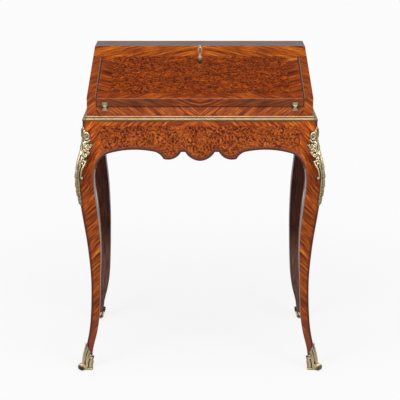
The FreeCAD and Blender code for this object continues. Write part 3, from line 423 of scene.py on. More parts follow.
def top_figure(tree, place):
    """Peaked streaks on the slope of the top board, darker and duller banding on its level part and back."""
    side, up, out = fall_place(tree, place)
    x, y, _ = tree.split(place)
    slope = chevron(tree, side, up, 29, 4.0)
    level = chevron(tree, tree.size(x), y, 38, 17.0)
    on_slope = tree.step(out, FALL_THICKNESS - 0.0012, FALL_THICKNESS - 0.0004)
    bright = enriched(tree, slope["Color"], 1.35, (1.56, 2.75, 2.10))
    colour = tree.mix(on_slope, tree.mix(0.75, level["Color"], (0.040, 0.017, 0.014)), bright)
    return colour, slope["Height"], tree.choose(on_slope, 0.300, 0.34)


def hinge_rail_figure(tree, place):
    """Streaks that fall to the middle of the hinge rail, with a dark line of painted shade along its top, in
    the gap under the fall.
    """
    x, _, z = tree.split(place)
    banding = chevron(tree, tree.size(x), z, 42, 31.0, peaked=False)
    colour = enriched(tree, banding["Color"], 1.35, (1.64, 2.9, 9.0))
    # Painted shade along the rail's top, in the gap under the fall's end.
    joint_and_gap_shade = tree.step(z, HINGE_Z - 0.0034, HINGE_Z - 0.0022)
    return dressed(tree, colour, joint_and_gap_shade, DARK_WOOD_AND_SHADE, 0.85), banding["Height"]


def case_side_figure(tree, place):
    """A case side: streaked sloping edge and stile, a painted highlight along its edge at the groove, and
    outside a burl panel inside a crossband.
    """
    x, y, z = tree.split(place)
    width = tree.size(x)
    side, up, out = fall_place(tree, place)
    slanted = toned(tree, chevron(tree, side, up, 40, 6.0)["Color"], (0.80, 0.78, 0.62))
    across = tree.add_up((y, 0.5), (z, 0.866))
    along = tree.add_up((y, 0.866), (z, -0.5))
    banding = tree.use(STREAKS, Across=across, Along=along, Seed=33.0)
    burl = tree.use(BURL, Vector=tree.join(y, z, 0.3))
    inset = tree.minus(FALL_THICKNESS, out)
    for from_edge in (tree.minus(z, HINGE_Z - 0.025), tree.minus(HINGE_Z + 0.103, z),
                      tree.minus(CASE_BACK, y), tree.plus(y, CASE_BACK)):
        inset = tree.least(inset, from_edge)
    panel = tree.mix(tree.above(inset, PANEL_BAND), banding["Color"], burl["Color"])
    outside = tree.above(width, CASE_HALF - 0.0005)
    front = tree.below(y, -CASE_BACK + 0.0005)
    stile = toned(tree, chevron(tree, width, z, 40, 6.0)["Color"], (0.86, 0.80, 0.80))
    on_slope = tree.step(out, FALL_THICKNESS - 0.0045, FALL_THICKNESS - 0.0035)
    colour = tree.mix(on_slope, (0.10, 0.022, 0.010), slanted)
    # Painted highlight: a paler strip along the side's edge at the groove beside the fall.
    groove = tree.step(width, INNER_HALF + 0.0030, INNER_HALF + 0.0022)
    colour = tree.mix(front, dressed(tree, colour, groove, (0.170, 0.080, 0.050)), stile)
    return tree.mix(outside, colour, panel), banding["Height"]


def leg_streaks(tree, place):
    """Streaks that fall to each leg's outer corner: their level is z plus |x| plus |y|."""
    x, y, z = tree.split(place)
    streaks = chevron(tree, tree.plus(tree.size(x), tree.size(y)), z, 50, 52.0)
    return {"Color": enriched(tree, streaks["Color"], 1.25, (1.38, 2.05, 2.6)), "Height": streaks["Height"]}


def frieze_figure(along):
    """A rail's veneer: a crossband strip under the moulding, with painted shade along its top, burl, streaked
    ends brightened as painted light, and a dark round edge: a painted sheen on the rounding and painted shade
    under it.
    """
    half = FRIEZE_X if along == 0 else FRIEZE_Y

    def figure(tree, place):
        parts = tree.split(place)
        run = tree.size(parts[along])
        z = parts[2]
        strip = chevron(tree, run, z, 36, 44.0)
        ends = leg_streaks(tree, place)
        burl = tree.use(BURL, Vector=tree.join(parts[along], z, 0.7))
        at_end = tree.above(run, half - END_BAND)
        at_top = tree.above(z, FRIEZE_TOP - STRIP_BAND)
        banding = enriched(tree, strip["Color"], 1.30, (1.72, 2.62, 3.8))
        # Painted shade under the moulding, along the top of the strip.
        shade_under_moulding = tree.step(z, FRIEZE_TOP - 0.0062, FRIEZE_TOP - 0.0016)
        banding = dressed(tree, banding, shade_under_moulding, EDGE_WOOD_AND_SHADE, 0.55)
        colour = tree.mix(at_top, toned(tree, burl["Color"], (0.90, 0.74, 0.62)), banding)
        # Painted light: the ends brightened as the knee tops are.
        colour = tree.mix(at_end, colour, toned(tree, ends["Color"], (1.18, 1.12, 0.95)))
        # Painted sheen along the rounded lower edge: darker at the rail's middle, paler towards the legs.
        edge = tree.attribute("edge")
        lip = tree.mix(tree.step(run, half - 0.100, half - 0.050), APRON_EDGE, EDGE_SHEEN)
        colour = dressed(tree, colour, tree.step(edge, 0.08, 0.46), lip, 0.78)
        # Painted shade on the underside of the rounded edge.
        under = tree.step(edge, 0.42, 0.66)
        colour = dressed(tree, colour, under, EDGE_WOOD_AND_SHADE, 0.85)
        return colour, tree.mix(at_end, burl["Height"], ends["Height"]), tree.scaled(under, -0.32, 0.40)

    return figure


def leg_figure(tree, place):
    """Streaked veneer on a leg's outer faces, dark at the knee's underside and along the outer corner as
    painted shade, with painted light by height, painted shade towards the foot and a painted sheen at the
    knee's inner edge. Dark stained wood on its inner ones, paler low down as painted light, with a painted
    reflection along the inner arris."""
    streaks = leg_streaks(tree, place)
    z = tree.split(place)[2]
    inner = tree.attribute("inner")
    # Painted light and shade by height: brighter at the knee tops, darker on the knee's underside and down
    # the shank.
    painted_light_by_height = tree.ramp(tree.step(z, 0.40, 0.70), (0.0, (0.90, 0.90, 0.72)), (0.30, (0.96, 0.92, 0.72)),
                     (0.50, (0.72, 0.64, 0.54)), (0.66, (0.58, 0.50, 0.46)), (0.76, (0.64, 0.56, 0.50)),
                     (0.92, (1.0, 0.92, 0.78)), (1.0, (1.18, 1.12, 0.95)))
    veneer = toned(tree, streaks["Color"], painted_light_by_height)
    # Painted shade: darker towards the foot.
    veneer = dressed(tree, veneer, tree.step(z, 0.20, 0.08), (0.140, 0.036, 0.023), 0.75)
    # Painted sheen on the rounded inner edge at the knee.
    rounded = tree.times(tree.ridge(z, 0.54, 0.59, 0.595, 0.605), tree.attribute("edge"))
    veneer = dressed(tree, veneer, rounded, EDGE_SHEEN, 0.45)
    # Painted shade: a dark line along the outer corner.
    veneer = dressed(tree, veneer, tree.attribute("corner"), EDGE_WOOD_AND_SHADE, 0.80)
    grain = tree.noise(tree.stretched(place, (260, 260, 18)), 1.0)
    stained = tree.ramp(grain, (0.35, DARK_WOOD_AND_SHADE), (0.65, (0.060, 0.0160, 0.0095)))
    # Painted light: the stained inner faces paler low down, as if lit from the floor.
    painted_lit_stain = tree.ramp(grain, (0.35, (0.070, 0.0320, 0.0240)), (0.65, (0.125, 0.0650, 0.0510)))
    stained = tree.mix(tree.step(z, 0.32, 0.20), stained, painted_lit_stain)
    # Painted reflection: a pale strip along the inner arris.
    arris = tree.ridge(inner, 0.05, 0.35, 0.70, 0.98)
    colour = dressed(tree, tree.mix(inner, veneer, stained), arris, (0.34, 0.200, 0.150), 0.6)
    dulled = tree.times(inner, tree.scaled(tree.step(z, 0.36, 0.24), 0.16, 0.18))
    return colour, streaks["Height"], tree.minus(0.40, dulled)


def back_figure(tree, place):
    """Plain upright streaks, quieter than the front."""
    x, _, z = tree.split(place)
    streaks = tree.use(STREAKS, Across=x, Along=z, Seed=61.0)
    return tree.mix(0.45, streaks["Color"], (0.13, 0.030, 0.010)), streaks["Height"]


def inner_figure(tree, place):
    """Waxed mahogany of the fittings, streaked along X."""
    x, y, z = tree.split(place)
    streaks = tree.use(STREAKS, Across=tree.plus(y, z), Along=x, Seed=71.0)
    return tree.mix(0.55, streaks["Color"], (0.24, 0.085, 0.032)), streaks["Height"]


def drawer_figure(tree, place):
    """Drawer fronts: upright streaks with a dark line round each front."""
    x, _, z = tree.split(place)
    streaks = tree.use(STREAKS, Across=x, Along=z, Seed=83.0)
    rim = tree.least(tree.minus(z, HINGE_Z + 0.0065), tree.minus(HINGE_Z + 0.0375, z))
    line = tree.ridge(rim, 0.0026, 0.0032, 0.0042, 0.0048)
    return dressed(tree, streaks["Color"], line, DARK_WOOD_AND_SHADE, 0.8), streaks["Height"]


def moulding_painted_shade(tree, place):
    """Painted shade under the moulding's bead and on its lower fillet, and on the bead of its side lengths.
    """
    x, _, z = tree.split(place)
    low = tree.step(z, FRIEZE_TOP + 0.0050, FRIEZE_TOP + 0.0010)
    beside = tree.times(tree.step(tree.size(x), CASE_HALF, CASE_HALF + 0.003),
                        tree.step(z, FRIEZE_TOP + 0.0020, FRIEZE_TOP + 0.0040))
    return tree.most(tree.scaled(low, 0.26, 0.06), tree.times(beside, 0.55))


def hinge_recess(tree, place):
    """Painted shade at the hinge leaves' sides, least at their ends, so that the bright part has a waist."""
    x, _, z = tree.split(place)
    away = tree.apart(tree.size(x), HINGE_PLACE)
    # Half width of the bright middle; the leaf's sides beyond it get painted shade.
    rubbed = tree.scaled(tree.step(tree.apart(z, HINGE_Z - 0.0015), 0.001, 0.006), 0.0042, 0.0030)
    return tree.step(tree.minus(away, rubbed), -0.0008, 0.0010)


def gilt_material(name, tone, recess=None, metal=1.0):
    """Gilt or brass of a tone, with a recess by place. A sculpted piece brings its own recess attribute."""
    material, tree = new_material(name)
    place = tree.place()
    hollow = recess(tree, place) if callable(recess) else recess or tree.attribute("recess")
    gilt = tree.use(PATINA, Vector=place, Recess=hollow, Tone=(*tone, 1))
    surfaced(tree, {"Base Color": gilt["Color"], "Roughness": gilt["Roughness"], "Metallic": metal},
             gilt["Height"], 0.15)
    return material


def steel_material():
    """Satin steel with fine marks along X."""
    material, tree = new_material("steel")
    marks = tree.noise(tree.stretched(tree.place(), (60, 900, 900)), 1.0, 2.0)
    colour = tree.ramp(marks, (0.3, (0.30, 0.29, 0.27)), (0.7, (0.48, 0.47, 0.45)))
    surfaced(tree, {"Base Color": colour, "Roughness": tree.scaled(marks, 0.25, 0.25), "Metallic": 1.0})
    return material


def leather_material(name, half_x, low, high, on_fall):
    """Green leather with fine grain and two gilt tooled lines a little inside its edge."""
    material, tree = new_material(name)
    place = tree.place()
    if on_fall:
        side, up, _ = fall_place(tree, place)
    else:
        x, up, _ = tree.split(place)
        side = tree.size(x)
    rim = tree.least(tree.minus(half_x, side), tree.least(tree.minus(up, low), tree.minus(high, up)))
    broad = tree.ridge(rim, 0.0080, 0.0084, 0.0100, 0.0104)
    thin = tree.ridge(rim, 0.0130, 0.0132, 0.0138, 0.0140)
    grain = tree.add("TexVoronoi", {"Vector": place, "Scale": 900.0}).outputs["Distance"]
    clouds = tree.noise(place, 16.0, 4.0)
    hide = tree.ramp(clouds, (0.3, (0.020, 0.043, 0.018)), (0.7, (0.045, 0.080, 0.032)))
    wear_and_painted_light = tree.times(tree.most(broad, thin), tree.step(tree.noise(place, 120.0), 0.35, 0.55))
    surfaced(tree, {
        "Base Color": tree.mix(wear_and_painted_light, hide, (0.62, 0.43, 0.15)), "Roughness": tree.scaled(clouds, 0.25, 0.38),
        "Metallic": tree.times(wear_and_painted_light, 0.8),
    }, grain, 0.25)
    return material


GILT = gilt_material("gilt_bronze", (0.92, 0.745, 0.475), metal=0.86)
MOULDING_BRASS = gilt_material("moulding_brass", (0.62, 0.43, 0.24), moulding_painted_shade)
HINGE_BRASS = gilt_material("hinge_brass", (1.0, 0.80, 0.52), hinge_recess)
BRASS = gilt_material("brass", (0.62, 0.42, 0.23), 0.08)
BRIGHT_BRASS = gilt_material("bright_brass", (0.88, 0.72, 0.50), metal=0.7)
DULL_BRASS = gilt_material("dull_brass", (0.30, 0.15, 0.06), 0.55)
LEG_VENEER = polished_wood("leg_veneer", leg_figure)
FRIEZE_FRONT = polished_wood("frieze_front_veneer", frieze_figure(0))
FRIEZE_SIDE = polished_wood("frieze_side_veneer", frieze_figure(1))


def dress_nodes():
    """Gives every CAD node its own finish, by its name."""
    inner = polished_wood("inner_wood", inner_figure, coat=0.2)
    steel = steel_material()
    finishes = {
        "fall_panel": polished_wood("fall_veneer", fall_figure),
        "top_board": polished_wood("top_veneer", top_figure),
        "hinge_rail": polished_wood("hinge_rail_veneer", hinge_rail_figure),
        "back_panel": polished_wood("back_veneer", back_figure),
        "fall_leather": leather_material("fall_leather", FALL_HALF - 0.036, 0.028, FALL_LENGTH - 0.052, True),
        "well_cover_leather": leather_material("cover_leather", 0.2437, -0.0757, 0.0499, False),
    }
    side = polished_wood("case_side_veneer", case_side_figure)
    drawer = polished_wood("drawer_veneer", drawer_figure, coat=0.6)
    finishes |= {"side_left": side, "side_right": side}
    finishes |= {f"drawer_{place}_front": drawer for place in ("left", "centre", "right")}
    finishes |= {f"drawer_{place}_knob": BRASS for place in ("left", "centre", "right")}
    by_start = {
        "moulding": MOULDING_BRASS, "hinge_leaves": HINGE_BRASS, "lock_case": BRASS, "lock_keeper": BRASS,
        "escutcheon": DULL_BRASS, "lock_key": BRIGHT_BRASS, "hinge_screws": BRASS, "hinge_pins": steel,
        "lock_screws": steel, "lock_bolt": steel, "corner_mount": BRASS, "sabot": BRASS, "leg": LEG_VENEER,
        "frieze": FRIEZE_FRONT,
    }
    for name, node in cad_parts.items():
        by_name = next((finish for start, finish in by_start.items() if name.startswith(start)), inner)
        node.data.materials.clear()
        node.data.materials.append(finishes.get(name, by_name))


def grid_faces(rows, columns, wrap=False):
    """Quads of a grid stored row by row. A wrapped grid joins its last column to its first."""
    row, column = np.meshgrid(np.arange(rows - 1), np.arange(columns if wrap else columns - 1), indexing="ij")
    here = row * columns + column
    after = row * columns + (column + 1) % columns
    return np.stack([here, after, after + columns, here + columns], axis=-1).reshape(-1, 4)


def outward(points, quads, centre):
    """The quads, turned round if most of them face the centre."""
    corners = points[quads]
    normals = np.cross(corners[:, 2] - corners[:, 0], corners[:, 3] - corners[:, 1])
    facing = np.sum(normals * (corners.mean(axis=1) - centre))
    return quads if facing > 0 else quads[:, ::-1]


def joined(*skins):
    """Points and outward faces of one mesh from several surfaces, each a grid that joins up round its
    columns. With each comes how many of its end rings have a flat face: none, the first, or both."""
    points, faces, first = [], [], 0
    for surface, ends in skins:
        rows, columns = surface.shape[:2]
        part = surface.reshape(-1, 3)
        quads = outward(part, grid_faces(rows, columns, wrap=True), part.mean(axis=0))
        ring = np.arange(columns)
        turned = quads[0][1] != 1
        caps = [ring if turned else ring[::-1], (rows - 1) * columns + (ring[::-1] if turned else ring)]
        points.append(part)
        faces += (quads + first).tolist() + [(cap + first).tolist() for cap in caps[:ends]]
        first += len(part)
    return np.concatenate(points), faces


def add_piece(name, points, faces, material, body, slot, replaced, **marks):
    """A smooth mesh piece at the origin that rides on a body in the place of some CAD nodes. Marks are
    values for each point."""
    mesh = bpy.data.meshes.new(name)
    mesh.from_pydata(points.tolist(), [], faces)
    mesh.polygons.foreach_set("use_smooth", np.ones(len(mesh.polygons), dtype=bool))
    for label, values in marks.items():
        layer = mesh.attributes.new(label, "FLOAT", "POINT")
        layer.data.foreach_set("value", np.ascontiguousarray(values, dtype=np.float32).ravel())
    mesh.materials.append(material)
    mesh.update()
    piece = bpy.data.objects.new(name, mesh)
    bpy.context.scene.collection.objects.link(piece)
    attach(piece, body)
    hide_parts(*replaced)


def smooth_curve(places, values, at):
    """Natural cubic spline through values at rising places, read at other places."""
    steps = np.diff(places)
    count = len(places)
    system = np.eye(count)
    right = np.zeros(count)
    inner = np.arange(1, count - 1)
    system[inner, inner - 1] = steps[:-1]
    system[inner, inner] = 2 * (steps[:-1] + steps[1:])
    system[inner, inner + 1] = steps[1:]
    right[1:-1] = 6 * np.diff(np.diff(values) / steps)
    bend = np.linalg.solve(system, right)
    n = np.clip(np.searchsorted(places, at) - 1, 0, count - 2)
    low = at - places[n]
    high = places[n + 1] - at
    h = steps[n]
    curve = (bend[n] * high ** 3 + bend[n + 1] * low ** 3) / (6 * h)
    return curve + (values[n] / h - bend[n] * h / 6) * high + (values[n + 1] / h - bend[n + 1] * h / 6) * low


def leg_shape(z):
    """Corner swell, face swell, inside width and stand-in of a leg at heights z, in metres."""
    feet = [(height, swell, swell, *inside) for height, swell, *inside in FOOT_STATIONS[::-1]]
    knees = [(FRIEZE_TOP * 1000 - drop, *swells, 0) for drop, *swells in KNEE_STATIONS[::-1]]
    stations = np.array(feet + knees) / 1000
    return [smooth_curve(stations[:, 0], stations[:, n], z) for n in (1, 2, 3, 4)]


def set_back(here, towards, radius):
    """Points at a radius from here, on the way towards others."""
    way = towards - here
    return here + way / np.linalg.norm(way, axis=1, keepdims=True) * radius[:, None]


def rounded_ring(corners, radii, arc, run):
    """Rings round four plan corners at each height. Every corner is a parabolic arc between points
    set back by its radius, and the runs between are straight. Shape: heights, points, 2."""
    parts = []
    turn = np.linspace(0, 1, arc)[None, :, None]
    share = np.linspace(0, 1, run + 2)[None, 1:-1, None]
    for n in range(4):
        after = (n + 1) % 4
        here = corners[n]
        start = set_back(here, corners[n - 1], radii[n])[:, None]
        end = set_back(here, corners[after], radii[n])[:, None]
        stop = set_back(corners[after], here, radii[after])[:, None]
        parts.append((1 - turn) ** 2 * start + 2 * turn * (1 - turn) * here[:, None] + turn ** 2 * end)
        parts.append(end * (1 - share) + stop * share)
    return np.concatenate(parts, axis=1)


def plan_corners(corner, face, inside):
    """Plan corners of a leg or shoe about the frieze corner: outer, front arris, inner, side arris."""
    return [np.stack(pair, axis=1) for pair in (
        (corner, corner), (-inside, face), (-inside, -inside), (face, -inside))]


def rear_width(z):
    """How much stouter inside the rear legs are at heights z, in metres: evenly below, not at the knee."""
    share = np.clip((0.40 - z) / 0.17, 0, 1)
    return REAR_WIDTH * share ** 2 * (3 - 2 * share)


def make_legs():
    """Each leg is rings of rounded plan corners, smooth along its height. Its inner faces, its arrises and
    its outer corner are marked."""
    z = np.linspace(LEG_FOOT, FRIEZE_TOP - HAIR, 260)
    corner, face, inside, stand_in = leg_shape(z)
    arris = np.interp(z, [0.0, 0.45, KNEE_JOINT - 0.01, KNEE_JOINT, KNEE_JOINT + 0.008],
                      [0.0020, 0.0020, 0.0045, 0.0050, 0.0006])
    plain = np.full_like(z, 0.0045)
    arc, run = 7, 8
    rings = [
        rounded_ring(plan_corners(corner, face, inside + wider), [plain, arris, plain, arris], arc, run)
        for wider in (0, rear_width(z))]
    count = rings[0].shape[1]
    side = arc + run
    last = 3 * side + arc
    number = np.arange(count)
    marks = {
        "inner": np.interp(number, [side + 2, side + arc, 3 * side - 1, last - 3], [0, 1, 1, 0]),
        "edge": np.interp(number, [side - 2, side, last, last + 1], [0, 1, 1, 0]),
        "corner": np.interp(number, [0, arc - 1, arc + 0.6, count - 1.6, count], [1, 1, 0, 0, 1]),
    }
    marks = {label: np.broadcast_to(mark, (len(z), count)) for label, mark in marks.items()}
    for name, (sx, sy) in CORNERS.items():
        plan = rings[0 if sy < 0 else 1]
        points = np.empty((len(z), count, 3))
        points[..., 0] = sx * (FRIEZE_X + plan[..., 0])
        points[..., 1] = sy * (FRIEZE_Y + plan[..., 1] - stand_in[:, None])
        points[..., 2] = z[:, None]
        add_piece(f"leg_shaped_{name}", *joined((points, 2)), LEG_VENEER, "carcass", "veneer",
                  (f"leg_{name}",), **marks)


def arc_points(start, middle, end, count):
    """Points along the circle through three points, in the plane of the rail's face."""
    a, b, c = (np.array(p, float) for p in (start, middle, end))
    system = 2 * np.array([b - a, c - a])
    centre = np.linalg.solve(system, [b @ b - a @ a, c @ c - a @ a])
    first, mid, last = (math.atan2(*(p - centre)[::-1]) for p in (a, b, c))
    sweep = (last - first) % (2 * math.pi)
    if (mid - first) % (2 * math.pi) > sweep:
        sweep -= 2 * math.pi
    angles = first + np.linspace(0, sweep, count)
    return centre + np.linalg.norm(a - centre) * np.stack([np.cos(angles), np.sin(angles)], axis=1)


def apron_edge(half, lobed):
    """Lower edge of a rail from its middle to the leg, as (run, height) points in millimetres."""
    top = FRIEZE_TOP * 1000
    crown = top - 82.5
    notch = top - 88.5
    bracket = [(half - 34, top - 93), (half - 12.9, top - 107.1), (half, top - 136)]
    if not lobed:
        reach, drop = bracket[0][0], 12.5
        radius = (reach ** 2 + drop ** 2) / (2 * drop)
        middle = (reach / 2, crown - (radius - math.sqrt(radius ** 2 - reach ** 2 / 4)))
        spans = [((0, crown), middle, bracket[0], 90), (*bracket, 60)]
    else:
        spans = [
            ((0, top - 113.5), (22.0, top - 107), (40, notch), 40),
            ((40, notch), (45.5, notch + 0.01), (51, notch), 14),
            ((51, notch), (84.6, top - 110), (99, top - 108), 50),
            ((99, top - 108), (108.24, top - 95.9), (121, notch), 30),
            ((121, notch), ((121 + bracket[0][0]) / 2, crown), bracket[0], 70),
            (*bracket, 60),
        ]
    pieces = [arc_points(*span[:3], span[3])[:-1] for span in spans]
    return np.concatenate([*pieces, [bracket[2]]])


def blurred(values, reach):
    """Mean of the values over a sliding window, with the ends held."""
    window = np.ones(2 * reach + 1) / (2 * reach + 1)
    padded = np.concatenate([np.repeat(values[:1], reach), values, np.repeat(values[-1:], reach)])
    return np.convolve(padded, window, mode="valid")


def rail_surface(half, lobed):
    """A shaped rail as (run, depth, height) points: at each place along its lower edge a loop down the
    face, round the edge in a quarter ellipse that shrinks near the leg, under the rail and up its back."""
    right = apron_edge(half * 1000, lobed) / 1000
    edge = np.concatenate([right[::-1] * (-1, 1), right[1:]])
    slope = np.gradient(edge, axis=0)
    normal = np.stack([-slope[:, 1], slope[:, 0]], axis=1)
    normal /= np.linalg.norm(normal, axis=1, keepdims=True)
    normal = np.stack([blurred(normal[:, 0], 4), blurred(normal[:, 1], 4)], axis=1)
    normal /= np.linalg.norm(normal, axis=1, keepdims=True)
    at_leg, on_run, bracket = 0.0090, 0.0140, 0.034
    from_leg = half - np.abs(edge[:, 0])
    in_bracket = (edge[:, 1] < FRIEZE_TOP - 0.093) & (from_leg < bracket)
    radius = np.where(in_bracket, at_leg + (on_run - at_leg) * from_leg / bracket, on_run)
    start = edge + normal * radius[:, None]
    middle = len(right) - 1
    start[middle:, 0] = np.maximum.accumulate(start[middle:, 0])
    start[:middle + 1, 0] = -np.maximum.accumulate(-start[middle::-1, 0])[::-1]
    face, turns, back = 9, 9, 6
    down = np.linspace(0, 1, face + 1)[:-1]
    turn = np.linspace(0, math.pi / 2, turns)
    share = 1 - np.sin(turn)
    rise = np.linspace(0, 1, back)
    top = FRIEZE_TOP - HAIR
    count = len(edge)
    edge_x, edge_z, start_x, start_z = edge[:, :1], edge[:, 1:], start[:, :1], start[:, 1:]
    loop_x = [np.repeat(start_x, face, axis=1), edge_x + (start_x - edge_x) * share, edge_x,
              edge_x + (start_x - edge_x) * rise]
    loop_y = [np.zeros((count, face)), 0.65 * radius[:, None] * (1 - np.cos(turn)),
              np.full((count, 1), FRIEZE_THICKNESS - 0.0005), np.full((count, back), FRIEZE_THICKNESS)]
    loop_z = [top + (start_z - top) * down, edge_z + (start_z - edge_z) * share, edge_z,
              edge_z + (top - edge_z) * rise]
    points = np.stack([np.concatenate(loop, axis=1) for loop in (loop_x, loop_y, loop_z)], axis=-1)
    mark = np.ones(points.shape[1])
    mark[:face] = 0
    mark[face:face + turns] = 0.2 + 0.8 * turn / turn[-1]
    return points, np.broadcast_to(mark, points.shape[:2])


def make_rails():
    """Front, rear and side rails, each set a hair behind the legs' faces and closed at its ends."""
    long, short = FRIEZE_X - LEG_WIDTH, FRIEZE_Y - LEG_WIDTH
    places = {
        "frieze_front": (long, True, 0, -1, FRIEZE_FRONT),
        "frieze_rear": (long, False, 0, 1, FRIEZE_FRONT),
        "frieze_left": (short, False, 1, -1, FRIEZE_SIDE),
        "frieze_right": (short, False, 1, 1, FRIEZE_SIDE),
    }
    for name, (half, lobed, axis, sign, veneer) in places.items():
        surface, edge = rail_surface(half, lobed)
        face = (FRIEZE_Y if axis == 0 else FRIEZE_X) - 0.0001
        points = np.empty_like(surface)
        points[..., axis] = surface[..., 0]
        points[..., 1 - axis] = sign * (face - surface[..., 1])
        points[..., 2] = surface[..., 2]
        add_piece(name + "_shaped", *joined((points, 2)), veneer, "carcass", "veneer", (name,), edge=edge)


def bar(a, d, path, radii, lift=0.0):
    """Relief of a round bar along a path: the half circle over the nearest of its points, all lifted."""
    far = np.hypot(a[..., None] - path[:, 0], d[..., None] - path[:, 1]) / radii
    return np.max(np.where(far < 1, radii * np.sqrt(np.clip(1 - far ** 2, 0, 1)) + lift, -2.0), axis=-1)


def leaf(a, d, root, tip, width, height, veins):
    """Relief of a leaf: a pointed oval from root to tip, crowned, grooved by veins off its midrib."""
    root, tip = np.array(root, float), np.array(tip, float)
    axis = tip - root
    length = np.hypot(*axis)
    axis = axis / length
    s = ((a - root[0]) * axis[0] + (d - root[1]) * axis[1]) / length
    t = (-(a - root[0]) * axis[1] + (d - root[1]) * axis[0]) / (width / 2)
    outline = np.sin(math.pi * np.clip(s, 0.001, 0.999) ** 0.7)
    lobes = outline * (0.86 + 0.14 * np.cos(2 * math.pi * veins * s))
    share = np.abs(t) / np.maximum(lobes, 0.02)
    crown = np.sqrt(np.clip(1 - share ** 2, 0, 1))
    groove = 1 - 0.30 * np.sin(math.pi * veins * (s - 0.35 * np.abs(t))) ** 2
    midrib = 0.35 * np.exp(-(t / 0.16) ** 2) * outline
    inside = (s > 0) & (s < 1) & (share < 1)
    return np.where(inside, height * (0.25 + crown * groove * 0.75 + midrib), -2.0)


def spiral(centre, outer, inner, start, turns, stretch=1.0, count=90):
    """A path that winds from an outer to an inner radius about a centre, stretched along the drop."""
    share = np.linspace(0, 1, count)
    angle = start + 2 * math.pi * turns * share
    radius = outer + (inner - outer) * share
    return np.stack([radius * np.cos(angle), stretch * radius * np.sin(angle)], axis=1) + centre


def through(*points, count=90):
    """A smooth path through points."""
    points = np.array(points, float)
    places = np.concatenate([[0], np.cumsum(np.hypot(*np.diff(points, axis=0).T))])
    at = np.linspace(0, places[-1], count)
    return np.stack([smooth_curve(places, points[:, n], at) for n in (0, 1)], axis=1)


def taper(first, last, count=90):
    """Radii that go evenly from one to another."""
    return np.linspace(first, last, count)


# Small curls on the mounts in millimetres: centre as (distance from the corner, drop), radius, first angle
MOUNT_CURLS = [
    ((7, 67), 4.2, 0.4), ((15, 69), 4.0, 2.6), ((22, 69), 3.2, 4.4), ((10, 79), 4.4, 5.0),
    ((18, 81), 4.0, 1.2), ((6, 91), 4.2, 3.2), ((14, 93), 4.2, 0.2), ((21, 88), 3.0, 2.0),
    ((9, 104), 4.2, 4.0), ((6, 30), 3.2, 1.0),
]


def mount_relief(a, d):
    """Relief of a corner mount over distance a from the corner and drop d, in millimetres: a spine down
    the corner, a bud, a volute, a spray of leaves, a shell of arcs in a C-scroll, a tail of husks."""
    half = np.interp(d, [20, 30, 60, 90, 108, 120, 130, 140, 150, 168, 180, 206, 220, 231, 237],
                     [0.5, 5, 9, 12, 16, 13, 8.5, 7, 7, 8.5, 8.5, 7.5, 6, 4, 0.5])
    strand = 0.5 - 0.5 * np.cos(2 * math.pi * a / 6.6)
    ribs = np.interp(d, [20, 32, 60, 90, 128], [1.0, 4.4, 5.6, 6.2, 7.2])
    husk = ((d + 10 * np.abs(a) / half - 128) / 26) % 1
    husks = np.interp(d, [128, 140, 170, 200, 225, 237], [7.4, 8.0, 7.2, 6.8, 6.4, 1.8])
    crown = np.sqrt(np.clip(1 - (a / half) ** 2, 0, 1)) * (1 - 0.34 * strand)
    spine = np.where(np.abs(a) < half, np.where(d < 128, ribs, husks * (0.74 + 0.34 * husk)) * crown, -2.0)
    scroll = through((19, 110), (17.8, 118), (14.0, 126), (11.2, 137), (10.8, 147), (12.2, 154.5),
                     (14.6, 156), (15.2, 152.5))
    bars = [
        (spiral((10.5, 43), 7.4, 2.6, -2.4, 1.30, 1.50), taper(3.2, 1.8), 1.9),
        (np.array([(10.5, 41.0), (10.5, 45.0)]), np.array([5.4, 5.4]), -2.4),
        (through((3, 62), (8, 58), (14, 57), (19, 53)), taper(3.6, 2.4), 1.4),
        (scroll, taper(3.0, 2.2), 4.2),
        (np.array([(14.4, 153.5)]), np.array([3.0]), 3.0),
        (np.array([(4.5, 194.0), (3.6, 202.0)]), np.array([2.6, 2.2]), 4.0),
    ]
    for centre, radius, start in MOUNT_CURLS:
        bars.append((spiral(centre, radius, 0.4 * radius, start, 0.95, 1.15, 36), taper(2.0, 1.3, 36), 4.2))
    turn = np.linspace(-2.6, -0.1, 40)
    for radius in (4.6, 11.0):
        arch = np.stack([8.5 + radius * np.cos(turn), 119 + 1.15 * radius * np.sin(turn)], axis=1)
        bars.append((arch, taper(2.9, 2.4, 40), 2.4))
    leaves = [
        ((4, 46), (2.5, 16), 13, 5.0, 1), ((2, 104), (14, 54), 36, 3.0, 1), ((4, 84), (29, 66), 18, 4.4, 3),
        ((4, 98), (26, 84), 17, 4.4, 3), ((2, 88), (9, 58), 14, 5.0, 2), ((1, 114), (12, 92), 15, 5.2, 2),
    ]
    reliefs = [spine, *(leaf(a, d, *each) for each in leaves), *(bar(a, d, *each) for each in bars)]
    return np.max(reliefs, axis=0)


def softened(relief, reach):
    """The mean of each point's surroundings on the grid."""
    total = np.zeros_like(relief)
    shifts = range(-reach, reach + 1)
    for down in shifts:
        for right in shifts:
            total += np.roll(np.roll(relief, down, axis=0), right, axis=1)
    return total / len(shifts) ** 2


def hollows(relief, reach, depth):
    """How far each point lies under the mean of its surroundings, as a share of a depth."""
    return np.clip((softened(relief, reach) - relief) / depth, 0, 1)


def trimmed(points, quads, keep, *marks):
    """The mesh without the quads that aren't kept, nor the points that only they used."""
    quads = quads[keep]
    used, quads = np.unique(quads, return_inverse=True)
    return points[used], quads.reshape(-1, 4), *[m.reshape(-1)[used] for m in marks]


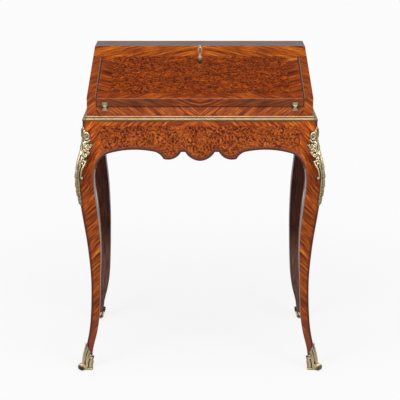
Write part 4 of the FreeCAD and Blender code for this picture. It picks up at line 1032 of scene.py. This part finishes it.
def on_knee(a, d, relief):
    """Plan places about the frieze corner, and heights, of points with a relief on a knee: a runs along the
    faces from the outer corner, which is softened, and the relief stands square to them."""
    z = FRIEZE_TOP - d / 1000
    levels = z[:, 0][::-1]
    corner, face, inside, _ = (part[::-1][:, None] for part in leg_shape(levels))
    lean = (corner - face) / (corner + inside)
    reach = a / 1000
    soft = np.sqrt(reach ** 2 + 0.0035 ** 2)
    normal_e = (1 - lean) + np.zeros_like(reach)
    normal_g = (1 + lean) * reach / soft
    height = relief / 1000 / np.hypot(normal_e, normal_g)
    e = -soft * (1 + lean) / math.sqrt(2) + height * normal_e
    g = reach * (1 - lean) / math.sqrt(2) + height * normal_g
    return corner + (e + g) / math.sqrt(2), corner + (e - g) / math.sqrt(2), z


def make_mounts():
    """Each corner mount is its relief raised over the leg's outer corner. Where there is no ornament the
    surface dives under the leg, and is cut off there. Its hollows, and its tail except at the husk tips, are
    dull. A line down its ridge and its low parts by the wood are dull as painted shade, and a thin rim where
    it meets the wood is a painted contact shadow."""
    a, d = np.meshgrid(np.linspace(-MOUNT_REACH, MOUNT_REACH, 153), np.linspace(*MOUNT_DROPS, 330))
    relief = softened(np.maximum(mount_relief(np.abs(a), d), -1.8), 1)
    # Painted contact shadow: a thin rim round the ornament where it meets the wood.
    rim_height = 0.35
    rim = (softened(np.where(relief > 0.2, 1.0, 0.0), 3) > 0.02) & (relief < rim_height)
    relief = np.where(rim, rim_height, relief)
    shown = np.maximum(relief, 0)
    # Painted shade where the relief sinks towards the wood.
    thin = np.clip(0.8 - 0.8 * relief, 0, 0.9)
    tips = np.cos(math.pi * (d - 197) / 11.5) ** 4 * np.exp(-((np.abs(a) - 4) / 3) ** 2)
    tail = np.interp(d, [176, 188, 240], [0.0, 0.50, 0.62]) * (1 - tips)
    # Painted shade: a dark line down the corner ridge.
    ridge = np.interp(d, [40, 60, 120, 140], [0, 0.25, 0.25, 0.40]) * np.exp(-(a / 2.2) ** 2)
    recess = np.max([hollows(shown, 3, 0.34), 0.9 * hollows(shown, 7, 1.0), thin, tail, ridge, rim], axis=0)
    plan_x, plan_y, z = on_knee(a, d, np.maximum(relief, -1.6))
    quads = grid_faces(*a.shape)
    keep = relief.reshape(-1)[quads].max(axis=1) > -0.9
    for name, (sx, sy) in CORNERS.items():
        points = np.stack([sx * (FRIEZE_X + plan_x), sy * (FRIEZE_Y + plan_y), z], axis=-1).reshape(-1, 3)
        mesh, faces, mark = trimmed(points, quads, keep, recess)
        inside_leg = np.array([sx * (FRIEZE_X - 0.02), sy * (FRIEZE_Y - 0.02), 0.61])
        faces = outward(mesh, faces, inside_leg)
        add_piece(f"corner_mount_cast_{name}", mesh, faces.tolist(), GILT, "carcass", "gilt_bronze",
                  (f"corner_mount_{name}",), recess=mark)


def lathe(profile, count=28):
    """A turned shape about +Z: (radius, height) points carried round a circle."""
    angle = np.linspace(0, 2 * math.pi, count, endpoint=False)
    radius, height = profile[:, :1], profile[:, 1:]
    return np.stack([radius * np.cos(angle), radius * np.sin(angle), height + 0 * angle], axis=-1)


def make_pins():
    """Round heads of the mounts' pins, two at each corner: domes along the diagonal, seated on the relief."""
    drops = np.array(PIN_DROPS, float)[:, None]
    on_corner = np.zeros_like(drops)
    plan_x, plan_y, z = on_knee(on_corner, drops, mount_relief(on_corner, drops))
    slope = np.linspace(0, math.pi / 2, 7)
    dome = np.stack([1.8 * np.cos(slope) + 0.02, 1.2 * np.sin(slope)], axis=1)
    shape = lathe(np.concatenate([[(1.8, -2.5)], dome]) / 1000, 16)
    out = shape[..., 2] / math.sqrt(2)
    across = shape[..., 0] / math.sqrt(2)
    heads = []
    for sx, sy in CORNERS.values():
        for n in range(len(PIN_DROPS)):
            x = sx * (FRIEZE_X + plan_x[n, 0] + out + across)
            y = sy * (FRIEZE_Y + plan_y[n, 0] + out - across)
            heads.append((np.stack([x, y, z[n, 0] + shape[..., 1]], axis=-1), 0))
    add_piece("corner_mount_pin_heads", *joined(*heads), BRASS, "carcass", "gilt_bronze",
              ("corner_mount_pins",))


def shoe_relief(a, d):
    """Relief of a shoe over distance a from its outer corner and height d, in millimetres: leaning flutes, a
    tall leaf up the corner, a broad leaf on each face, a curl under the rim, a bead along the sole."""
    lean = a - 0.10 * (d - 20)
    flutes = 3.0 * np.abs(np.cos(math.pi * (lean - 1) / 10)) * np.clip((d - 4) / 8, 0, 1)
    parts = [
        np.zeros_like(flutes),
        flutes,
        leaf(a, d, (0, 20), (0, 90), 17, 4.2, 1),
        leaf(a, d, (11, 20), (13, 68), 14, 4.2, 1),
        leaf(a, d, (4, 0), (15, 24), 13, 3.8, 1),
        bar(a, d, spiral((21, 40), 5.0, 2.4, 1.2, 1.1), taper(2.8, 1.8), 1.4),
        bar(a, d, through((30, 2.5), (15, 2.5), (0, 2.5)), taper(2.6, 2.6)),
    ]
    return np.max(parts, axis=0)


def shoe_surface(wider):
    """A shoe, wider inside by so much, as rings round the leg's foot. Each column rises to its own rim, low
    at the heel, with a leaf up the outer corner, and the relief is raised out of the plan."""
    level = np.linspace(0, 1, 96)
    heights = np.linspace(0, SHOE_TIP + 4, SHOE_TIP + 5)
    swell, inside, stand_in = (
        smooth_curve(SHOE_STATIONS[:, 0], SHOE_STATIONS[:, n], heights) / 1000 for n in (1, 2, 3))
    radius = np.full(len(heights), 0.004)
    inside = inside + wider * np.interp(heights, [0, 8, 30], [-0.7, 0.0, 1.0])
    ring = rounded_ring(plan_corners(swell, swell, inside), [radius] * 4, 13, 38)
    ring = np.roll(ring, -6, axis=1)
    count = ring.shape[1]
    step = np.linalg.norm(np.diff(ring[30], axis=0, append=ring[30][:1]), axis=1)
    place = np.concatenate([[0], np.cumsum(step)[:-1]]) * 1000
    around = place[-1] + step[-1] * 1000
    a = np.abs(np.where(place < around / 2, place, place - around))
    rim = np.interp(a, [0, 3, 8, 13, 18, 22, 27, 34, 60], [SHOE_TIP, 78, 67, 60, 52, 44, 38, 33, 30])
    rim = rim - 1600 * wider * np.clip((a - 12) / 10, 0, 1) * np.clip((60 - a) / 10, 0.5, 1)
    rim = rim + 1.2 * np.cos(a * 1.1) * np.clip(a / 6, 0, 1)
    z = level[:, None] * rim
    low = np.clip(z.astype(int), 0, len(heights) - 2)
    share = (z - low)[..., None]
    column = np.arange(count)[None, :]
    plan = ring[low, column] * (1 - share) + ring[low + 1, column] * share
    tangent = np.roll(plan, -1, axis=1) - np.roll(plan, 1, axis=1)
    normal = np.stack([tangent[..., 1], -tangent[..., 0]], axis=-1)
    normal /= np.maximum(np.linalg.norm(normal, axis=-1, keepdims=True), 1e-9)
    normal *= np.where(np.sum(normal * plan, axis=-1).mean() < 0, -1, 1)
    lip = (1.3 + 0.6 * np.clip((a - 22) / 10, 0, 1)) * np.exp(-((rim - z) / 2.2) ** 2)
    relief = softened(shoe_relief(a + 0 * z, z), 1) + lip
    # Painted shade on the inner and rear faces, and towards the sole.
    inner_and_sole_shade = (0.6 - 70 * wider) * np.clip((a - 24) / 8, 0, 1) + 0.35 * np.exp(-z / 6) + 0 * z
    plan = plan + normal * ((relief - 1.6) / 1000)[..., None]
    plan[..., 1] -= np.interp(z, heights, stand_in)
    return np.concatenate([plan, (z / 1000)[..., None]], axis=-1), relief, inner_and_sole_shade


def toe_surface():
    """A rolled toe: a barrel lying across the foot's corner, ringed by grooves and drawn in to its ends."""
    s = np.linspace(-1, 1, 41)
    body = np.clip(1 - np.abs(s) ** 5, 0, 1) ** 0.5
    groove = 1 - 0.07 * np.cos(6 * math.pi * s) * body
    radius = 0.0098 * body * groove + 0.00005
    angle = np.linspace(0, 2 * math.pi, 40, endpoint=False)
    curl = 1 + 0.05 * np.cos(angle)[None, :] * body[:, None]
    return s * 0.0098, radius[:, None] * curl, angle


def make_shoes():
    """Gilt shoes: the fluted cup, its sole, and the rolled toe at its outer corner."""
    cups = []
    for wider in (0.0, REAR_WIDTH):
        cup, relief, inner_and_sole_shade = shoe_surface(wider)
        recess = np.maximum(hollows(relief, 2, 0.28), hollows(relief, 6, 0.55))
        cups.append((cup, np.maximum(recess, np.maximum(inner_and_sole_shade, 0.14))))
    along, radius, angle = toe_surface()
    share = (along / along[-1])[:, None]
    # Painted shade on the toe's underside and outer side, and a little in bands along it.
    wear_and_painted_light = 0.25 * np.sin(3 * math.pi * share) ** 2 + 0.9 * np.clip(1.6 * np.cos(angle) - 0.7, 0, 1)
    wear_and_painted_light = np.clip(wear_and_painted_light + 0.8 * np.clip(-0.2 - np.sin(angle), 0, 1), 0, 1)
    turn_out = math.sqrt(0.5)
    out = 0.0210 + radius * np.cos(angle) * turn_out
    aside = along[:, None] * turn_out
    toe = np.stack([
        out + aside, out - aside - SHOE_STATIONS[0, 3] / 1000, 0.0112 + radius * np.sin(angle)], axis=-1)
    for name, (sx, sy) in CORNERS.items():
        flip = np.array([sx, sy, 1.0])
        base = np.array([FRIEZE_X - (REAR_TOE_IN if sy > 0 else 0), FRIEZE_Y, 0.0])
        cup, recess = cups[0 if sy < 0 else 1]
        mark = np.concatenate([recess.reshape(-1), wear_and_painted_light.reshape(-1)])
        add_piece(f"sabot_cast_{name}", *joined(((cup + base) * flip, 1), ((toe + base) * flip, 0)), GILT,
                  "carcass", "gilt_bronze", (f"sabot_{name}",), recess=mark)


def on_fall(points):
    """Points drawn on the fall (across, up the slope, out of its inner face), put in the desk."""
    x, up, out = points[..., 0], points[..., 1], points[..., 2]
    y = HINGE_Y + up * math.cos(SLOPE) - out * math.sin(SLOPE)
    z = HINGE_Z + up * math.sin(SLOPE) + out * math.cos(SLOPE)
    return np.stack([x, y, z], axis=-1)


def make_key():
    """The key: a turned shank with bell, ball and finial, an oval bow and a flat bit."""
    face = FALL_THICKNESS * 1000
    shank = np.array([
        (0.05, 2.3), (2.3, 2.4), (2.35, face + 1.5), (3.7, face + 1.9), (4.0, face + 3.4), (3.6, face + 4.6),
        (4.5, face + 6.0), (5.5, face + 8.8), (5.8, face + 11.2), (5.3, face + 14.2), (4.0, face + 16.8),
        (2.6, face + 18.5), (3.0, face + 19.2), (2.2, face + 20.4), (0.05, face + 21.4)]) / 1000
    finial = np.array([
        (0.05, face + 44.6), (1.4, face + 45.2), (1.1, face + 46.2), (2.1, face + 47.3), (2.2, face + 48.4),
        (1.2, face + 49.6), (0.05, face + 50.2)]) / 1000
    bow_height, bow_across, bow_up = face + 32.3, 4.1, 11.6
    turn = np.linspace(0, 2 * math.pi, 56, endpoint=False)[:, None]
    tube = np.linspace(0, 2 * math.pi, 14, endpoint=False)
    thick = 2.40 - 0.30 * np.cos(2 * turn)
    ring_x = (bow_across + thick * np.cos(tube)) * np.sin(turn)
    ring_z = bow_height - (bow_up + thick * np.cos(tube)) * np.cos(turn)
    bow = np.stack([ring_x, thick * np.sin(tube), ring_z], axis=-1) / 1000
    bow = np.concatenate([bow, bow[:1]])
    bit_half = np.array([(-1, -1), (1, -1), (1, 1), (-1, 1)]) * (0.001, 0.002)
    bit_x, bit_run = np.meshgrid(bit_half[:, 0], np.linspace(-0.009, 0.0, 6))
    bit = np.stack([bit_x, bit_run, 0.0043 + np.broadcast_to(bit_half[:, 1], bit_x.shape)], axis=-1)
    surfaces = [(lathe(shank), 0), (lathe(finial, 20), 0), (bow, 0), (bit, 1)]
    height = np.concatenate([surface[..., 2].reshape(-1) for surface, _ in surfaces]) - FALL_THICKNESS
    # Painted shade at the key's base by the escutcheon; its collars a little darker, its bow clean.
    mark = np.interp(height, [0.0, 0.005, 0.007, 0.016, 0.020], [0.55, 0.5, 0.30, 0.26, 0.0])
    mesh = joined(*[(on_fall(surface + (0, KEY_UP, 0)), ends) for surface, ends in surfaces])
    add_piece("key_turned", *mesh, BRIGHT_BRASS, "key", "brass", ("lock_key",), recess=mark)


def make_floor():
    """White floor. It takes light and shadow as paper does close to the desk, and glows as bright as the
    backdrop to the camera and in mirrors, where it is dimmer in front and far to the sides."""
    material, tree = new_material("white_floor")
    path = tree.add("LightPath").outputs
    seen = tree.most(path["Is Camera Ray"], tree.most(path["Is Glossy Ray"], path["Is Transmission Ray"]))
    x, y, _ = tree.split(tree.place())
    away = tree.calculate("SQRT", tree.plus(tree.times(x, x), tree.times(y, y)))
    plain = tree.times(seen, tree.scaled(tree.step(away, 0.5, 1.5), 0.14, 0.86))
    mirrored = tree.scaled(tree.step(y, -0.6, 0.3), 0.52, 0.42)
    mirrored = tree.times(mirrored, tree.scaled(tree.step(tree.size(x), 1.3, 2.0), -0.75, 1.0))
    paper = tree.add("BsdfDiffuse", {"Color": (0.80, 0.80, 0.80, 1)})
    glow = tree.add("Emission", {
        "Color": (0.966, 0.966, 0.966, 1), "Strength": tree.choose(path["Is Glossy Ray"], 1.0, mirrored)})
    surface = tree.add("MixShader", {
        0: tree.choose(path["Is Glossy Ray"], plain, 1.0), 1: paper.outputs[0], 2: glow.outputs[0]})
    tree.add("OutputMaterial", {"Surface": surface.outputs[0]})
    mesh = bpy.data.meshes.new("floor")
    mesh.from_pydata([(-30, -30, 0), (30, -30, 0), (30, 30, 0), (-30, 30, 0)], [], [(0, 1, 2, 3)])
    mesh.materials.append(material)
    floor = bpy.data.objects.new("floor", mesh)
    bpy.context.scene.collection.objects.link(floor)


def make_studio():
    """Soft studio light: an even world, white to the camera and darker above and in front in mirrors, and
    three lamps aimed at the desk."""
    scene = bpy.context.scene
    world = bpy.data.worlds.new("studio")
    scene.world = world
    world.use_nodes = True
    world.node_tree.nodes.clear()
    tree = Tree(world.node_tree)
    path = tree.add("LightPath").outputs
    _, y, z = tree.split(tree.add("TexCoord").outputs["Generated"])
    wall = tree.times(tree.step(z, 0.72, 0.40), tree.scaled(tree.step(y, -0.75, -0.10), 0.45, 0.15))
    level = tree.choose(path["Is Glossy Ray"], 0.50, tree.plus(wall, 0.06))
    level = tree.choose(path["Is Camera Ray"], level, 1.0)
    background = tree.add("Background", {"Color": (0.985, 0.985, 0.985, 1), "Strength": level})
    tree.add("OutputWorld", {"Surface": background.outputs[0]})
    lamps = {
        "softbox_left": ((-2.1, -2.4, 2.6), 1.8, 62.0),
        "softbox_right": ((2.1, -2.4, 2.6), 1.8, 48.0),
        "softbox_top": ((0.0, -0.9, 3.4), 2.2, 40.0),
    }
    for name, (place, size, power) in lamps.items():
        data = bpy.data.lights.new(name, "AREA")
        data.shape = "DISK"
        data.size = size
        data.energy = power
        lamp = bpy.data.objects.new(name, data)
        scene.collection.objects.link(lamp)
        lamp.location = place
        x, y, z = np.array([0.0, 0.0, 0.55]) - np.array(place)
        lamp.rotation_euler = (math.atan2(math.hypot(x, y), -z), 0, math.atan2(-x, y))


def make_camera():
    """The camera at the photograph's place."""
    scene = bpy.context.scene
    data = bpy.data.cameras.new("camera")
    data.sensor_width = 36.0
    data.lens = 108.7
    camera = bpy.data.objects.new("camera", data)
    scene.collection.objects.link(camera)
    camera.location = (0.0, -3.345, 1.476)
    camera.rotation_euler = (math.radians(90 - 17.14), 0, 0)
    scene.camera = camera
    scene.view_settings.view_transform = "Standard"


make_floor()
make_studio()
make_camera()
dress_nodes()
make_legs()
make_rails()
make_mounts()
make_pins()
make_shoes()
make_key()
